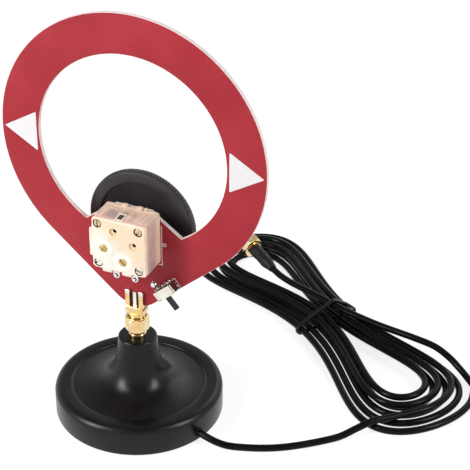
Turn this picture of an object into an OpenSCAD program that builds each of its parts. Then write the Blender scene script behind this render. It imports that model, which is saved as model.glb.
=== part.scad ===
// Tabletop loop antenna for medium wave: a printed ring with a tuning capacitor,
// on a magnetic base with a coaxial cable. Millimetres, +Z up, origin at the centre
// of the base's underside. The board stands in the XZ plane and its front faces -Y.

/* [Board] */
// Outer radius of the printed ring
ring_r = 50; // [46:0.5:56]
// Radius of the hole in the ring
hole_r = 35.5; // [32:0.5:38]
// Thickness of the board
board_t = 1.6; // [1:0.1:2.4]
// Radius of the rounded lower tip
tip_r = 11.4; // [8:0.2:14]
// Distance from the ring's centre down to the centre of the tip
tip_drop = 51; // [46:0.5:60]
// Height of the capacitor's shaft above the lower edge of the ring's hole
shaft_rise = 3.9; // [2:0.1:6]
// Height of the board's pad above the capacitor's shaft
pad_rise = 9.6; // [8:0.1:10]
// Half width of the top of that pad
pad_half = 7; // [5:0.5:9]
// Slope of the sides of that pad, in degrees
pad_slope = 36; // [30:1:45]

/* [Printed winding] */
// Number of turns of the printed loop
turns = 8; // [4:1:9]
// Width of a printed track
track_w = 0.9; // [0.5:0.05:1.1]
// Distance between neighbouring tracks
track_pitch = 1.4; // [1.2:0.05:1.5]
// Thickness of the copper
track_t = 0.1; // [0.05:0.01:0.2]
// Distance of the innermost track from the hole's edge
track_edge = 1.8; // [1.6:0.1:2.5]
// Half angle of the opening where the turns step over
track_gap = 16; // [12:1:20]

/* [Tuning capacitor] */
// Width and height of the capacitor's case
cap_w = 20.2; // [19:0.1:22]
// How far the case's left side bulges out and the cover's tabs hang down
bulge_out = 1.1; // [0.6:0.1:1.6]
// Height of the bulge
bulge_h = 11.6; // [8:0.1:12]
// Width of a tab under the front cover
tab_w = 4; // [3:0.1:4.4]
// Wall of the case
cap_wall = 1; // [0.8:0.1:1.2]
// Thickness of the plate that lies on the board
back_t = 1.6; // [1.2:0.1:2.4]
// Length of the hollow case
case_l = 8; // [6.8:0.1:9]
// Thickness of the front cover
cover_t = 2.2; // [2:0.1:3]
// Radius of the tuning shaft
shaft_r = 3; // [2.5:0.1:3.4]
// Radius of a rotor plate
rotor_r = 7.4; // [6.5:0.1:8]
// Thickness of a rotor or stator plate
plate_t = 0.35; // [0.2:0.05:0.4]
// Number of rotor plates
plates = 4; // [2:1:4]
// Distance from one rotor plate to the next
plate_pitch = 1.3; // [1.1:0.05:1.35]
// Distance of a case screw from the capacitor's axis, along each side
case_screw_at = 7.8; // [7.4:0.1:8]
// Distance of a mounting screw from the capacitor's axis
mount_screw_at = 7.2; // [6.8:0.1:7.6]
// Radius on which the trimmers lie
trimmer_at = 5.9; // [5.4:0.1:6.2]
// Angle of the first trimmer place
trimmer_angle = 16; // [10:1:20]
// Radius of a trimmer screw
trimmer_r = 1.4; // [1:0.1:1.6]

/* [Tuning knob] */
// Radius of the thumbwheel
knob_r = 20.4; // [18:0.2:24]
// Thickness of the thumbwheel
knob_t = 3.4; // [3:0.1:5]
// Distance from the back of the board to the thumbwheel
knob_off = 4.2; // [3:0.1:6]
// Radius of the recess in the thumbwheel's face
knob_dish_r = 16; // [10:0.5:17]
// Depth of that recess
knob_dish = 0.8; // [0.3:0.1:1]
// Radius of the hub
hub_r = 5; // [4.4:0.1:6]

/* [Slide switch] */
// Length of the switch
switch_l = 8.6; // [8:0.1:10]
// Width of the switch across the board's edge
switch_w = 3.6; // [3.4:0.1:4.5]
// Height of the switch above the board
switch_h = 3.5; // [3.3:0.1:4.5]
// Distance of the switch's middle from the board's sloping edge
switch_inset = 2.1; // [2:0.1:3]
// Distance along that edge from the rounded tip to the switch's middle
switch_up = 9.4; // [8:0.1:12]
// Sheet thickness of the switch's cover
sheet_t = 0.3; // [0.2:0.05:0.4]
// Travel of the lever
switch_travel = 2; // [1.5:0.1:2.2]
// Width of the lever
lever_w = 1.9; // [1.5:0.1:2.2]
// Depth of the lever
lever_d = 1.4; // [1:0.1:1.6]
// Length of the lever outside the switch
lever_l = 5.8; // [3:0.1:7]

/* [Coaxial connectors] */
// Width of the nut across its flats
nut_af = 8; // [7.6:0.1:9]
// Height of the nut
nut_h = 5.5; // [5:0.1:7]
// Radius of the jack's threaded barrel
barrel_r = 3.1; // [3:0.05:3.3]
// Radius of the plug's body under the nut
ferrule_r = 2.85; // [2.7:0.05:3]
// Radius of the plug's front tube
tube_r = 2.27; // [2.2:0.01:2.4]
// Radius of the insulator
insul_r = 2; // [1.8:0.05:2.1]
// Radius of the plug's pin
pin_r = 0.46; // [0.4:0.01:0.5]
// Width of the jack's body, along the board
jack_w = 6.6; // [6.2:0.1:8]
// Depth of the jack's body, across the board
jack_d = 5; // [4.8:0.1:6.6]
// Height of the jack's body
jack_h = 2.7; // [2.4:0.1:5]
// Length of the jack's legs along the board
leg_l = 6.8; // [5:0.1:8]
// Width of a leg
leg_w = 1.8; // [1.2:0.1:2]
// Thickness of a leg
leg_t = 1.3; // [0.8:0.1:1.6]

/* [Base] */
// Radius of the base
base_r = 31; // [29:0.5:36]
// Height of the base up to the top of its neck
base_h = 32; // [30:0.5:40]
// Height of the base's rim
rim_h = 11.6; // [11:0.1:13]
// Radius of the rounded edge of the rim
rim_round = 2.6; // [2:0.1:4]
// Radius of the ring groove on the rim
groove_r = 24.5; // [24:0.1:25]
// Radius of the neck
neck_r = 7.1; // [6.6:0.1:9]
// Rounding at the top of the neck
neck_round = 0.8; // [0.6:0.1:1.4]
// How softly the neck runs out into the rim: more is softer
flare = 1.8; // [1.5:0.1:2.2]
// Wall of the base
base_wall = 2.3; // [1.8:0.1:2.4]
// Thickness of the foam pad under the base
pad_t = 0.8; // [0.6:0.1:1]
// Thickness of the steel plate
yoke_t = 1.2; // [0.8:0.1:1.4]
// Outer radius of the ring magnet
magnet_r = 16; // [12:0.5:17]
// Radius of the magnet's hole
magnet_hole = 8; // [6:0.5:10]
// Height of the magnet
magnet_h = 5; // [3:0.1:5.4]
// Height of the nut above the neck
nut_lift = 2.7; // [2:0.1:4]

/* [Cable] */
// Diameter of the cable
cord_d = 2.7; // [2.4:0.05:2.7]
// Half length of the hank's outermost loop
hank_half = 78.5; // [77:0.5:82]
// How much shorter each further loop is at its end
end_step = 4.45; // [4.3:0.05:4.6]
// Sideways step from loop to loop at the waist
waist_step = 3.45; // [3.4:0.05:3.6]
// Width of the outermost loop's belly beyond the waist
belly = 44; // [42:0.5:45]
// How much narrower each further loop is at its belly
belly_step = 5; // [4.9:0.1:5.2]
// Height of one layer of loops
layer_step = 3.2; // [3.15:0.05:3.4]
// Thickness of the tie round the waist
tie_t = 0.9; // [0.6:0.1:0.9]
// Width of the tie
tie_w = 1.6; // [1:0.1:3]
// Length of the plug's heat-shrink boot
boot_l = 14.5; // [13:0.5:15]
// Radius of the boot
boot_r = 2.7; // [2.5:0.1:3]

/* [Hidden] */
$fn = 64;

// Clearance of a running fit, of a loose fit, and the overlap of a cut past a face
run = 0.05;
loose = 0.2;
cut = 1;

// The connector stack, in heights above the bottom of a nut
lip_h = 0.5;
ring_groove_h = 0.8;
shoulder_h = 1.5;
barrel_low = shoulder_h + loose;
tube_l = 2.2;
seat_h = barrel_low + tube_l;
thread_free = 2;
block_low = nut_h + thread_free;
block_high = block_low + jack_h;
pin_tip = seat_h + 2.6;
groove_depth = 0.35;
catch_w = 0.35;
insul_low = -2.2;
core_low = -5.7;
tail_lap = 0.4;
groove_side = 0.15;
insul_rise = 0.6;
ring_split = 0.5;
nut_bevel = 0.6;
nut_turn = 23;

// Heights of the assembly
nut_z = base_h + nut_lift;
edge_gap = 0.1;
board_low = nut_z + block_high + edge_gap;
ring_z = board_low + tip_r + tip_drop;

// The board's sloping edges touch the ring and the tip
edge_sin = (ring_r - tip_r) / tip_drop;
edge_normal = [sqrt(1 - edge_sin * edge_sin), -edge_sin];
edge_angle = 90 - asin(edge_sin);
edge_along = [edge_sin, edge_normal[0]];
// How far a sloping edge lies inside the line that touches both circles, so that it crosses them
edge_dip = 0.02;

// The capacitor, measured from the board's front along its axis
shaft_y = shaft_rise - hole_r;
case_z = back_t;
cover_z = back_t + case_l;
cap_front = cover_z + cover_t;
cap_in = cap_w - 2 * cap_wall;
bush_r = shaft_r + 0.9;
bush_l = board_t + 1;
pivot_r = 1.2;
pivot_l = 1.2;
shaft_front = cover_z - 0.4;
plate_z = back_t + 0.8;
nub_at = [-2.4, 3.2];
tab_at = [-4.6, 3];
nub_half = 1;
nub_h = 0.9;
notch_x = [-1.4, 0.9];
notch_d = 1.2;
notch_skin = 0.6;
stator_low = 0.4;
stator_bore = bush_r + 0.7;
rotor_hub = shaft_r + 1;
screw_r = 0.8;
screw_floor = 0.3;
screw_slot = 0.4;
screw_head_r = 1.5;
screw_head_t = 0.8;
mount_r = 1;
mount_head_r = 1.9;
mount_head_t = 1.2;
mount_slot = 0.5;
trimmer_depth = 0.9;
trimmer_proud = 0.3;
trimmer_slot = 0.4;
trimmer_slot_d = 0.6;
trimmer_turn = 30;
term_at = 3.6;
term_w = 1.6;
term_t = 0.35;
term_z = 6.6;
term_drop = 5.4;
solder_h = 0.35;
term_joint = 1.2;

// The knob, measured along the same axis behind the board
knob_front = -board_t - knob_off;
knob_back = knob_front - knob_t;
hub_front = -bush_l - 0.4;
knob_screw_r = 1.2;
knob_head_r = 2.2;
knob_head_t = 0.9;
knob_slot_w = 0.6;
knob_slot_d = 0.5;
knob_screw_l = 3.4;
knob_web = 1;
shaft_back = knob_back + knob_head_t + loose + knob_web;
knob_edge = 0.6;

// The switch, in a frame along the board's sloping edge
switch_at = [0, -tip_drop] + (tip_r - switch_inset) * edge_normal + switch_up * edge_along;
lever_mid = switch_h / 2;
lever_low = -switch_w / 2 - lever_l;
slider_l = lever_w + 0.3;
slider_d = lever_d + 0.4;
slider_front = -switch_w / 2 + sheet_t + run;
slider_w = 1.2;
contact_t = 0.2;
pin_pitch = 2.5;
pin_t = 0.4;
pin_reach = 1;
pin_joint = 0.8;

// The base
rest_gap = 0.3;
seat_r = base_r - base_wall - run;
plate_r = seat_r - loose;
ledge = 0.9;
yoke_z = pad_t;
magnet_z = pad_t + yoke_t;
flange_t = 2;
flange_r = ferrule_r + 1.65;
flange_z = base_h - 8;
ledge_z = magnet_z;
groove_depth_rim = 0.4;
groove_half = 0.4;
foot_bevel = 0.8;
round_steps = 8;
flare_steps = 20;
flare_spread = 1.6;
hollow_flare = 5;
rim_step = 0.6;
flare_low = rim_h - rim_step;
flare_top = base_h - neck_round - 0.4;
hollow_low = flare_low - base_wall;
exit_angle = -20;
exit_z = 3.6;
grommet_r = 1.9;
grommet_in = seat_r - 0.2;
grommet_out = base_r + 0.3;

// The cable's joints and routes
cord_r = cord_d / 2;
floor_gap = 0.05;
hank_at = [44.5, 76];
hank_angle = -35;
hank_phase = -18;
hank_turn = 4.3;
hank_first = 2.03;
hank_end = 8.12;
hank_shift = 2.2;
hank_waist = 0.8;
climb = 0.5;
rings = 24;
tie_gap = 0.25;
tie_room = 0.55;
lead_join = 6;
tail_join = 3;
plug_place = [-36, -1, 8.2];
plug_tilt = 8;
plug_tail_r = 2.2;
plug_nut_at = boot_l + 0.4;
plug_tail_l = 9;
boot_taper = [0.6, 3];
boot_lip = [0.2, 1];

// Bends of the lead on the table, from the base to the hank
lead_bends = [
    [36, -11.8, 2.6], [41, -10.9, 1.5], [47, -9.2, 1.4], [53, -6.9, 1.4], [59, -3.7, 1.4], [65, 0.6, 1.4],
    [71, 5.7, 1.4], [76, 10.2, 1.8], [80.4, 14.8, 3.4], [85, 19.8, 4.7]
];
// Bends of the tail over the hank, in the hank's own frame: along it, across it and up
tail_bends = [
    [59.5, 25.8, 2.2], [54, 25.7, 3.8], [49, 24.8, 5.8], [43, 22.6, 7.8], [36, 18.8, 8.7], [29, 15.4, 8.8],
    [22, 12, 8.9], [14, 8.8, 9], [7, 6.4, 9], [0, 4.6, 9], [-8, 2.8, 8.9], [-16, 1.1, 8.6], [-23, -0.1, 8.1],
    [-30, -0.8, 7.8]
];
// The bend of the tail that lies under the tie
tie_bend = tail_bends[9];
// Bends of the coax inside the base: out from the axis, and up
inner_bends = [[26, 3.6], [23, 4.6], [20, 6.6], [16, 8.7], [11, 10.2], [6, 12.4], [2.4, 16], [0.5, 20]];

function unit(v) = v / norm(v);
function smooth(x) = let (s = max(0, min(1, x))) s * s * (3 - 2 * s);
function from_hank(u, v, z) =
    let (c = cos(hank_angle), s = sin(hank_angle))
    [hank_at[0] + u * c - v * s, hank_at[1] + u * s + v * c, z];
function out_at(r, z) = [r * cos(exit_angle), r * sin(exit_angle), z];

// The hank's middle line after t turns: the loops close in on top, drop a layer and open again
function hank_point(t) =
    let (inward = t <= hank_turn ? t : 2 * hank_turn - t)
    let (a = hank_phase + 360 * t)
    let (waist = hank_waist + waist_step * (hank_turn - inward))
    let (u = (hank_half - end_step * inward) * cos(a))
    let (v = sin(a) * (waist + (belly - belly_step * inward) * pow(cos(a), 2)) + hank_shift * pow(sin(a), 2))
    let (lift = (tie_t + tie_gap) * pow(sin(a), 6))
    let (layer = layer_step * smooth((hank_turn - t) / climb + 0.5))
    from_hank(u, v, cord_r + floor_gap + lift + layer);
function hank_dir(t) = unit(hank_point(t + 0.005) - hank_point(t - 0.005));

// Triangles of a tube: rings of n sides round the points of a path, closed at both ends
function path_dir(p, i) = unit(p[min(i + 1, len(p) - 1)] - p[max(i - 1, 0)]);
function tube_ring(p, d, up, r, n) =
    let (side = unit(cross(d, up)))
    let (rise = cross(side, d))
    [for (j = [0:n - 1]) p + r * (cos(360 * (j + 0.5) / n) * side + sin(360 * (j + 0.5) / n) * rise)];
function tube_sides(m, n) =
    [for (i = [0:m - 2]) for (j = [0:n - 1])
        let (a = i * n + j, b = i * n + (j + 1) % n)
        each [[a, b, b + n], [a, b + n, a + n]]];
function tube_caps(m, n) =
    [for (j = [1:n - 2]) each [[0, j + 1, j], [(m - 1) * n, (m - 1) * n + j, (m - 1) * n + j + 1]]];
module tube(path, r, n, up = [0, 0, 1]) {
    corners = [for (i = [0:len(path) - 1]) each tube_ring(path[i], path_dir(path, i), up, r, n)];
    polyhedron(corners, concat(tube_sides(len(path), n), tube_caps(len(path), n)), convexity = 10);
}

// Paths of the cable's stretches
hank_start = hank_point(hank_first) - cord_d * hank_dir(hank_first);
hank_stop = hank_point(hank_end) + cord_d * hank_dir(hank_end);
plug_base = from_hank(plug_place[0], plug_place[1], plug_place[2]);
plug_dir = [-cos(plug_tilt) * cos(hank_angle), -cos(plug_tilt) * sin(hank_angle), sin(plug_tilt)];
tail_stop = plug_base + (plug_nut_at - plug_tail_l) * plug_dir;
lead_path = concat(
    [out_at(grommet_in, exit_z), out_at(grommet_out + 0.2, exit_z)],
    lead_bends,
    [hank_start - lead_join * hank_dir(hank_first), hank_start]
);
hank_loops = hank_end - hank_first;
hank_steps = round(hank_loops * rings);
hank_path = concat(
    [hank_start],
    [for (i = [0:hank_steps]) hank_point(hank_first + hank_loops * i / hank_steps)],
    [hank_stop]
);
tail_path = concat(
    [hank_stop, hank_stop + tail_join * hank_dir(hank_end)],
    [for (b = tail_bends) from_hank(b[0], b[1], b[2])],
    [plug_base, tail_stop]
);
coax_top = nut_z + core_low - loose;
inner_path = concat(
    [out_at(grommet_in, exit_z)],
    [for (b = inner_bends) out_at(b[0], b[1])],
    [[0, 0, flange_z], [0, 0, coax_top]]
);

// The least gap between the hank's loops, measured on a finer row of points
fine = 72;
function hank_gap() =
    let (p = [for (i = [0:floor(hank_loops * fine)]) hank_point(hank_first + i / fine)])
    min([for (i = [0:len(p) - 1]) for (k = [1:ceil(hank_loops)]) for (e = [-6:6])
        let (j = i + k * fine + e) if (j < len(p)) norm(p[i] - p[j])]) - cord_d;
function path_length(p) = len(p) < 2 ? 0 : [for (i = 1, s = norm(p[1] - p[0]); i < len(p);
    i = i + 1, s = s + (i < len(p) ? norm(p[i] - p[i - 1]) : 0)) s][len(p) - 2];
union() {  // cable_hank
    echo(least_gap = hank_gap());
    echo(cable_length = path_length(lead_path) + path_length(hank_path) + path_length(tail_path));
}

// Frames of the board, the capacitor, the switch and the cable's plug
module on_board() translate([0, 0, ring_z]) rotate([90, 0, 0]) children();
module on_cap() on_board() translate([0, shaft_y, board_t / 2]) children();
module on_switch() on_board() translate([switch_at[0], switch_at[1], board_t / 2])
    rotate([0, 0, edge_angle]) children();
module on_nut() translate([0, 0, nut_z]) children();
module on_plug() translate(plug_base) rotate([0, 90 - plug_tilt, hank_angle + 180]) children();
module on_plug_nut() on_plug() translate([0, 0, plug_nut_at]) children();
module four_corners(at) for (x = [-at, at]) for (y = [-at, at]) translate([x, y, 0]) children();
module both_sides(at) for (x = [-at, at]) translate([x, 0, 0]) children();
module block(x, y, z) translate([x[0], y[0], z[0]]) cube([x[1] - x[0], y[1] - y[0], z[1] - z[0]]);
module rod(r, low, high) translate([0, 0, low]) cylinder(r = r, h = high - low);
module pipe(r, bore, low, high) difference() {
    rod(r, low, high);
    rod(bore, low - cut, high + cut);
}

// Board: ring, tip and sloping edges, with a pad that reaches up into the hole
module board_blank() {
    half = board_t / 2;
    a = (ring_r - edge_dip) * edge_normal;
    b = (tip_r - edge_dip) * edge_normal + [0, -tip_drop];
    rod(ring_r, -half, half, $fn = 128);
    translate([0, -tip_drop, 0]) rod(tip_r, -half, half);
    translate([0, 0, -half]) linear_extrude(board_t) polygon([a, b, [-b[0], b[1]], [-a[0], a[1]]]);
}
module board_pad() {
    top = shaft_y + pad_rise;
    low = -hole_r - 1;
    half = pad_half + (top - low) / tan(pad_slope);
    polygon([[-half, low], [half, low], [pad_half, top], [-pad_half, top]]);
}
module pcb_board() color("firebrick") on_board() difference() {
    union() board_blank();
    translate([0, 0, -board_t]) linear_extrude(2 * board_t) difference() {
        circle(hole_r, $fn = 128);
        board_pad();
    }
    translate([0, shaft_y, 0]) {
        rod(bush_r + loose, -board_t, board_t);
        both_sides(mount_screw_at) rod(mount_r + loose, -board_t, board_t);
    }
}

// Winding: open rings on the back of the board, each joined to the next across the gap
via_r = 0.7 * track_w;
function track_r(i) = hole_r + track_edge + i * track_pitch;
function track_end(i, side) = track_r(i) * [side * sin(track_gap), -cos(track_gap)];
module track_ring(i) difference() {
    circle(track_r(i) + track_w / 2, $fn = 128);
    circle(track_r(i) - track_w / 2, $fn = 128);
    polygon([[0, 0], 2 * track_end(i, -1), 2 * track_end(i, 1)]);
}
module track_step(i) {
    a = track_end(i, 1);
    b = track_end(i + 1, -1);
    angle = atan2(b[1] - a[1], b[0] - a[0]);
    translate(a) rotate(angle) translate([-track_w / 2, -track_w / 2])
        square([norm(b - a) + track_w, track_w]);
}
module loop_winding() color("darkred") on_board() translate([0, 0, -board_t / 2 - track_t])
    linear_extrude(track_t) {
        for (i = [0:turns - 1]) track_ring(i);
        for (i = [0:turns - 2]) track_step(i);
        translate(track_end(0, -1)) circle(via_r);
        translate(track_end(turns - 1, 1)) circle(via_r);
    }

// Capacitor: back plate with a bush, hollow case, front cover, plates, shaft and screws
module cap_outline() {
    square(cap_w, center = true);
    translate([-cap_w / 2 - bulge_out, -bulge_h / 2]) square([cap_w / 2, bulge_h]);
}
module cover_outline() {
    cap_outline();
    for (x = tab_at) translate([x - tab_w / 2, -cap_w / 2 - bulge_out]) square([tab_w, cap_w / 2]);
}
module capacitor_back_plate() color("bisque") on_cap() difference() {
    union() {
        linear_extrude(back_t) cap_outline();
        rod(bush_r, -bush_l, back_t);
        for (x = nub_at)
            block([x - nub_half, x + nub_half], [cap_w / 2 - cut, cap_w / 2 + nub_h], [0, back_t]);
    }
    rod(shaft_r + run, -bush_l - cut, back_t + cut);
    four_corners(case_screw_at) rod(screw_r + run, screw_floor, back_t + cut);
    both_sides(mount_screw_at) rod(mount_r + run, -cut, back_t + cut);
}
module capacitor_case() color("bisque") on_cap() difference() {
    translate([0, 0, case_z]) linear_extrude(case_l) cap_outline();
    translate([0, 0, case_z - cut]) linear_extrude(case_l + 2 * cut) square(cap_in, center = true);
}
module trimmer_place(k) rotate(trimmer_angle + 90 * k) translate([trimmer_at, 0, 0]) children();
module capacitor_front_cover() color("antiquewhite") on_cap() difference() {
    translate([0, 0, cover_z]) linear_extrude(cover_t) cover_outline();
    rod(pivot_r + run, cover_z - cut, shaft_front + pivot_l + loose);
    four_corners(case_screw_at) {
        rod(screw_r + run, cover_z - cut, cap_front + cut);
        rod(screw_head_r + loose, cap_front - screw_head_t, cap_front + cut);
    }
    for (k = [0:3]) trimmer_place(k) rod(trimmer_r + run, cap_front - trimmer_depth, cap_front + cut);
    block(notch_x, [cap_w / 2 - notch_d, cap_w], [cover_z - cut, cap_front - notch_skin]);
}
module stator_outline() difference() {
    translate([-cap_in / 2, stator_low]) square([cap_in, cap_in / 2 - stator_low]);
    circle(stator_bore);
    for (x = [-1, 1]) translate([x * case_screw_at, case_screw_at]) circle(screw_r + loose);
}
module capacitor_stator_plates() color("silver") on_cap()
    for (i = [0:plates - 1]) translate([0, 0, plate_z + (i + 0.5) * plate_pitch])
        linear_extrude(plate_t) stator_outline();
module rotor_outline() difference() {
    union() {
        intersection() {
            circle(rotor_r);
            translate([-rotor_r, -rotor_r]) square([2 * rotor_r, rotor_r]);
        }
        circle(rotor_hub);
    }
    circle(shaft_r + run);
}
module capacitor_rotor_plates() color("gainsboro") on_cap()
    for (i = [0:plates - 1]) translate([0, 0, plate_z + i * plate_pitch])
        linear_extrude(plate_t) rotor_outline();
module capacitor_shaft() color("gold") on_cap() difference() {
    union() {
        rod(shaft_r, shaft_back, shaft_front);
        rod(pivot_r, shaft_front - cut, shaft_front + pivot_l);
    }
    rod(knob_screw_r + run, shaft_back - cut, shaft_back + knob_screw_l + 1.5 * loose);
}
module capacitor_terminals() color("silver") on_cap() both_sides(term_at) {
    foot = -cap_w / 2 - term_drop;
    block([-term_w / 2, term_w / 2], [foot, -cap_w / 2], [term_z, term_z + term_t]);
    block([-term_w / 2, term_w / 2], [foot, foot + term_t], [solder_h, term_z + term_t]);
}
module slotted_head(r, low, high, slot_w, slot_d) difference() {
    rod(r, low, high);
    block([-r - cut, r + cut], [-slot_w / 2, slot_w / 2], [high - slot_d, high + cut]);
}
module capacitor_case_screws() color("darkkhaki") on_cap() four_corners(case_screw_at) {
    slotted_head(screw_head_r, cap_front - screw_head_t, cap_front, screw_slot, screw_slot);
    rod(screw_r, screw_floor + 2 * run, cap_front - screw_head_t);
}
module capacitor_mounting_screws() color("silver") on_cap() both_sides(mount_screw_at) {
    mirror([0, 0, 1]) slotted_head(mount_head_r, board_t, board_t + mount_head_t, mount_slot, mount_slot);
    rod(mount_r, -board_t, back_t - loose);
}
module trimmer(k) color("gold") on_cap() trimmer_place(k) rotate(trimmer_turn) slotted_head(
    trimmer_r, cap_front - trimmer_depth, cap_front + trimmer_proud, trimmer_slot, trimmer_slot_d);
module trimmer_left() trimmer(2);
module trimmer_right() trimmer(3);

// Knob: a thumbwheel with bevelled edges, dished towards the board, on the shaft's end
module tuning_knob() color("dimgray") on_cap() difference() {
    union() {
        rotate_extrude($fn = 128) polygon([
            [0, knob_back], [knob_r - knob_edge, knob_back], [knob_r, knob_back + knob_edge],
            [knob_r, knob_front - knob_edge], [knob_r - knob_edge, knob_front], [knob_dish_r, knob_front],
            [knob_dish_r, knob_front - knob_dish], [0, knob_front - knob_dish]
        ]);
        rod(hub_r, knob_front - knob_dish - loose, hub_front);
    }
    rod(shaft_r + run, shaft_back, hub_front + cut);
    rod(knob_screw_r + loose, knob_back - cut, shaft_back + cut);
    rod(knob_head_r + loose, knob_back - cut, knob_back + knob_head_t + loose);
}
module knob_screw() color("silver") on_cap() {
    head = knob_back + knob_head_t + loose;
    mirror([0, 0, 1]) slotted_head(knob_head_r, -head, knob_head_t - head, knob_slot_w, knob_slot_d);
    rod(knob_screw_r, head, shaft_back + knob_screw_l);
}

// Switch: plastic body, bent cover, slider with its contact, and three pins
module switch_body() color("black") on_switch() difference() {
    block([-switch_l / 2, switch_l / 2], [-switch_w / 2 + sheet_t, switch_w / 2],
        [sheet_t, switch_h - sheet_t]);
    block([-(slider_l + switch_travel) / 2 - loose, (slider_l + switch_travel) / 2 + loose],
        [-switch_w, slider_front + slider_w + contact_t + loose],
        [lever_mid - slider_d / 2 - run, lever_mid + slider_d / 2 + run]);
}
module switch_cover() color("silver") on_switch() difference() {
    block([-switch_l / 2, switch_l / 2], [-switch_w / 2, switch_w / 2], [0, switch_h]);
    block([-switch_l, switch_l], [-switch_w / 2 + sheet_t, switch_w], [sheet_t, switch_h - sheet_t]);
    block([-(lever_w + switch_travel) / 2 - loose, (lever_w + switch_travel) / 2 + loose],
        [-switch_w, 0], [lever_mid - lever_d / 2 - run, lever_mid + lever_d / 2 + run]);
}
module at_rest() translate([-switch_travel / 2, 0, 0]) children();
module switch_lever() color("black") on_switch() at_rest() {
    block([-slider_l / 2, slider_l / 2], [slider_front, slider_front + slider_w],
        [lever_mid - slider_d / 2, lever_mid + slider_d / 2]);
    block([-lever_w / 2, lever_w / 2], [lever_low, slider_front + slider_w / 2],
        [lever_mid - lever_d / 2, lever_mid + lever_d / 2]);
}
module switch_contact() color("gold") on_switch() at_rest()
    block([-slider_l / 2, slider_l / 2], [slider_front + slider_w, slider_front + slider_w + contact_t],
        [lever_mid - lever_d / 2, lever_mid + lever_d / 2]);
module three_pins() for (i = [-1:1]) translate([i * pin_pitch, 0, 0]) children();
module switch_terminals() color("silver") on_switch() three_pins() {
    end = switch_w / 2 + pin_reach;
    block([-pin_t / 2, pin_t / 2], [switch_w / 2, end], [lever_mid - pin_t, lever_mid]);
    block([-pin_t / 2, pin_t / 2], [end - pin_t, end], [solder_h, lever_mid]);
}

// Solder: a low cone under each foot, the same behind the board, and one large joint in front
blob_at = [7.6, -tip_drop - 0.8];
blob_r = 1.35;
module joint_cone(r) cylinder(r1 = r, r2 = r / 2, h = solder_h, $fn = 32);
module solder_joints() color("lightgray") {
    on_cap() both_sides(term_at) translate([0, -cap_w / 2 - term_drop + term_t / 2, 0]) {
        joint_cone(term_joint);
        translate([0, 0, -board_t]) mirror([0, 0, 1]) joint_cone(term_joint);
    }
    on_switch() three_pins() translate([0, switch_w / 2 + pin_reach - pin_t / 2, 0]) {
        joint_cone(pin_joint);
        translate([0, 0, -board_t]) mirror([0, 0, 1]) joint_cone(pin_joint);
    }
    on_board() translate([blob_at[0], blob_at[1], board_t / 2])
        intersection() {
            sphere(blob_r);
            rod(2 * blob_r, 0, 2 * blob_r);
        }
}

// Jack at the board's tip: threaded barrel, block and four legs, insulator and socket
module sma_jack_body() color("gold") on_nut() {
    difference() {
        union() {
            rod(barrel_r, barrel_low, block_low + cut);
            block([-jack_w / 2, jack_w / 2], [-jack_d / 2, jack_d / 2], [block_low, block_high]);
        }
        rod(tube_r + run, 0, seat_h);
        rod(insul_r + run, 0, block_high + cut);
    }
    for (x = [-1, 1]) for (y = [-1, 1]) {
        out = x * (jack_w / 2 - leg_w / 2);
        face = y * (board_t / 2 + leg_t / 2);
        translate([out, face, block_high - loose]) translate([-leg_w / 2, -leg_t / 2, 0])
            cube([leg_w, leg_t, leg_l + loose]);
    }
}
socket_r = 0.64;
link_low = block_high - 1.4;
link_t = 0.6;
socket_skin = 0.4;
tongue_t = 0.7;
tongue_short = 0.8;
module sma_jack_insulator() color("white") on_nut() pipe(insul_r, socket_r + run, seat_h, link_low - loose);
module sma_jack_pin() color("gold") on_nut() {
    tongue = board_t / 2 + tongue_t;
    pipe(socket_r, pin_r + run, seat_h, pin_tip + socket_skin);
    rod(socket_r, pin_tip + socket_skin, link_low + loose);
    block([-socket_r, socket_r], [-tongue, socket_r], [link_low, link_low + link_t]);
    block([-socket_r, socket_r], [-tongue, -board_t / 2], [link_low, block_high + leg_l - tongue_short]);
}

// Base: a hollow bell with a rounded rim and a slim neck, in profile
// The flare is a hyperbola between two points, softer with a larger bend, and stepped finer towards the rim
function flare_curve(r_low, z_low, r_high, z_high, bend) =
    let (near = 1 / bend, far = 1 / (r_low - r_high + bend))
    [for (i = [0:flare_steps])
        let (q = far + (near - far) * pow(i / flare_steps, flare_spread))
        [r_high - bend + 1 / q, z_low + (z_high - z_low) * (q - far) / (near - far)]];
function round_corner(r, z, q, from) = [for (i = [0:round_steps])
    let (a = from + i * 90 / round_steps) [r - q + q * cos(a), z - q + q * sin(a)]];
outer_profile = concat(
    [[0, rest_gap], [base_r - foot_bevel, rest_gap], [base_r, rest_gap + foot_bevel]],
    round_corner(base_r, rim_h, rim_round, 0),
    [[groove_r + groove_half, rim_h], [groove_r, flare_low - groove_depth_rim]],
    flare_curve(groove_r - groove_half, flare_low, neck_r, flare_top, flare),
    round_corner(neck_r, base_h, neck_round, 0),
    [[0, base_h]]
);
hollow_profile = concat(
    [[0, rest_gap - cut], [seat_r, rest_gap - cut], [seat_r, ledge_z], [seat_r - ledge, ledge_z]],
    [[seat_r - ledge, hollow_low]],
    flare_curve(groove_r - base_wall, hollow_low, flange_r + run, flange_z, hollow_flare),
    [[flange_r + run, flange_z + flange_t], [0, flange_z + flange_t]]
);
module exit_bore(r, from, to) translate([0, 0, exit_z]) rotate([0, 90, exit_angle]) rod(r, from, to);
module base_shell() color([0.12, 0.12, 0.13]) difference() {
    rotate_extrude($fn = 128) polygon(outer_profile);
    rotate_extrude($fn = 128) polygon(hollow_profile);
    rod(ferrule_r + run, base_h / 2, base_h + cut);
    exit_bore(grommet_r + run, groove_r, base_r + cut);
}
module base_magnet() color("slategray") pipe(magnet_r, magnet_hole, magnet_z, magnet_z + magnet_h);
module base_yoke_plate() color("lightsteelblue") rod(plate_r, yoke_z, yoke_z + yoke_t);
module base_pad() color("gray") rod(plate_r, 0, pad_t);
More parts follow.
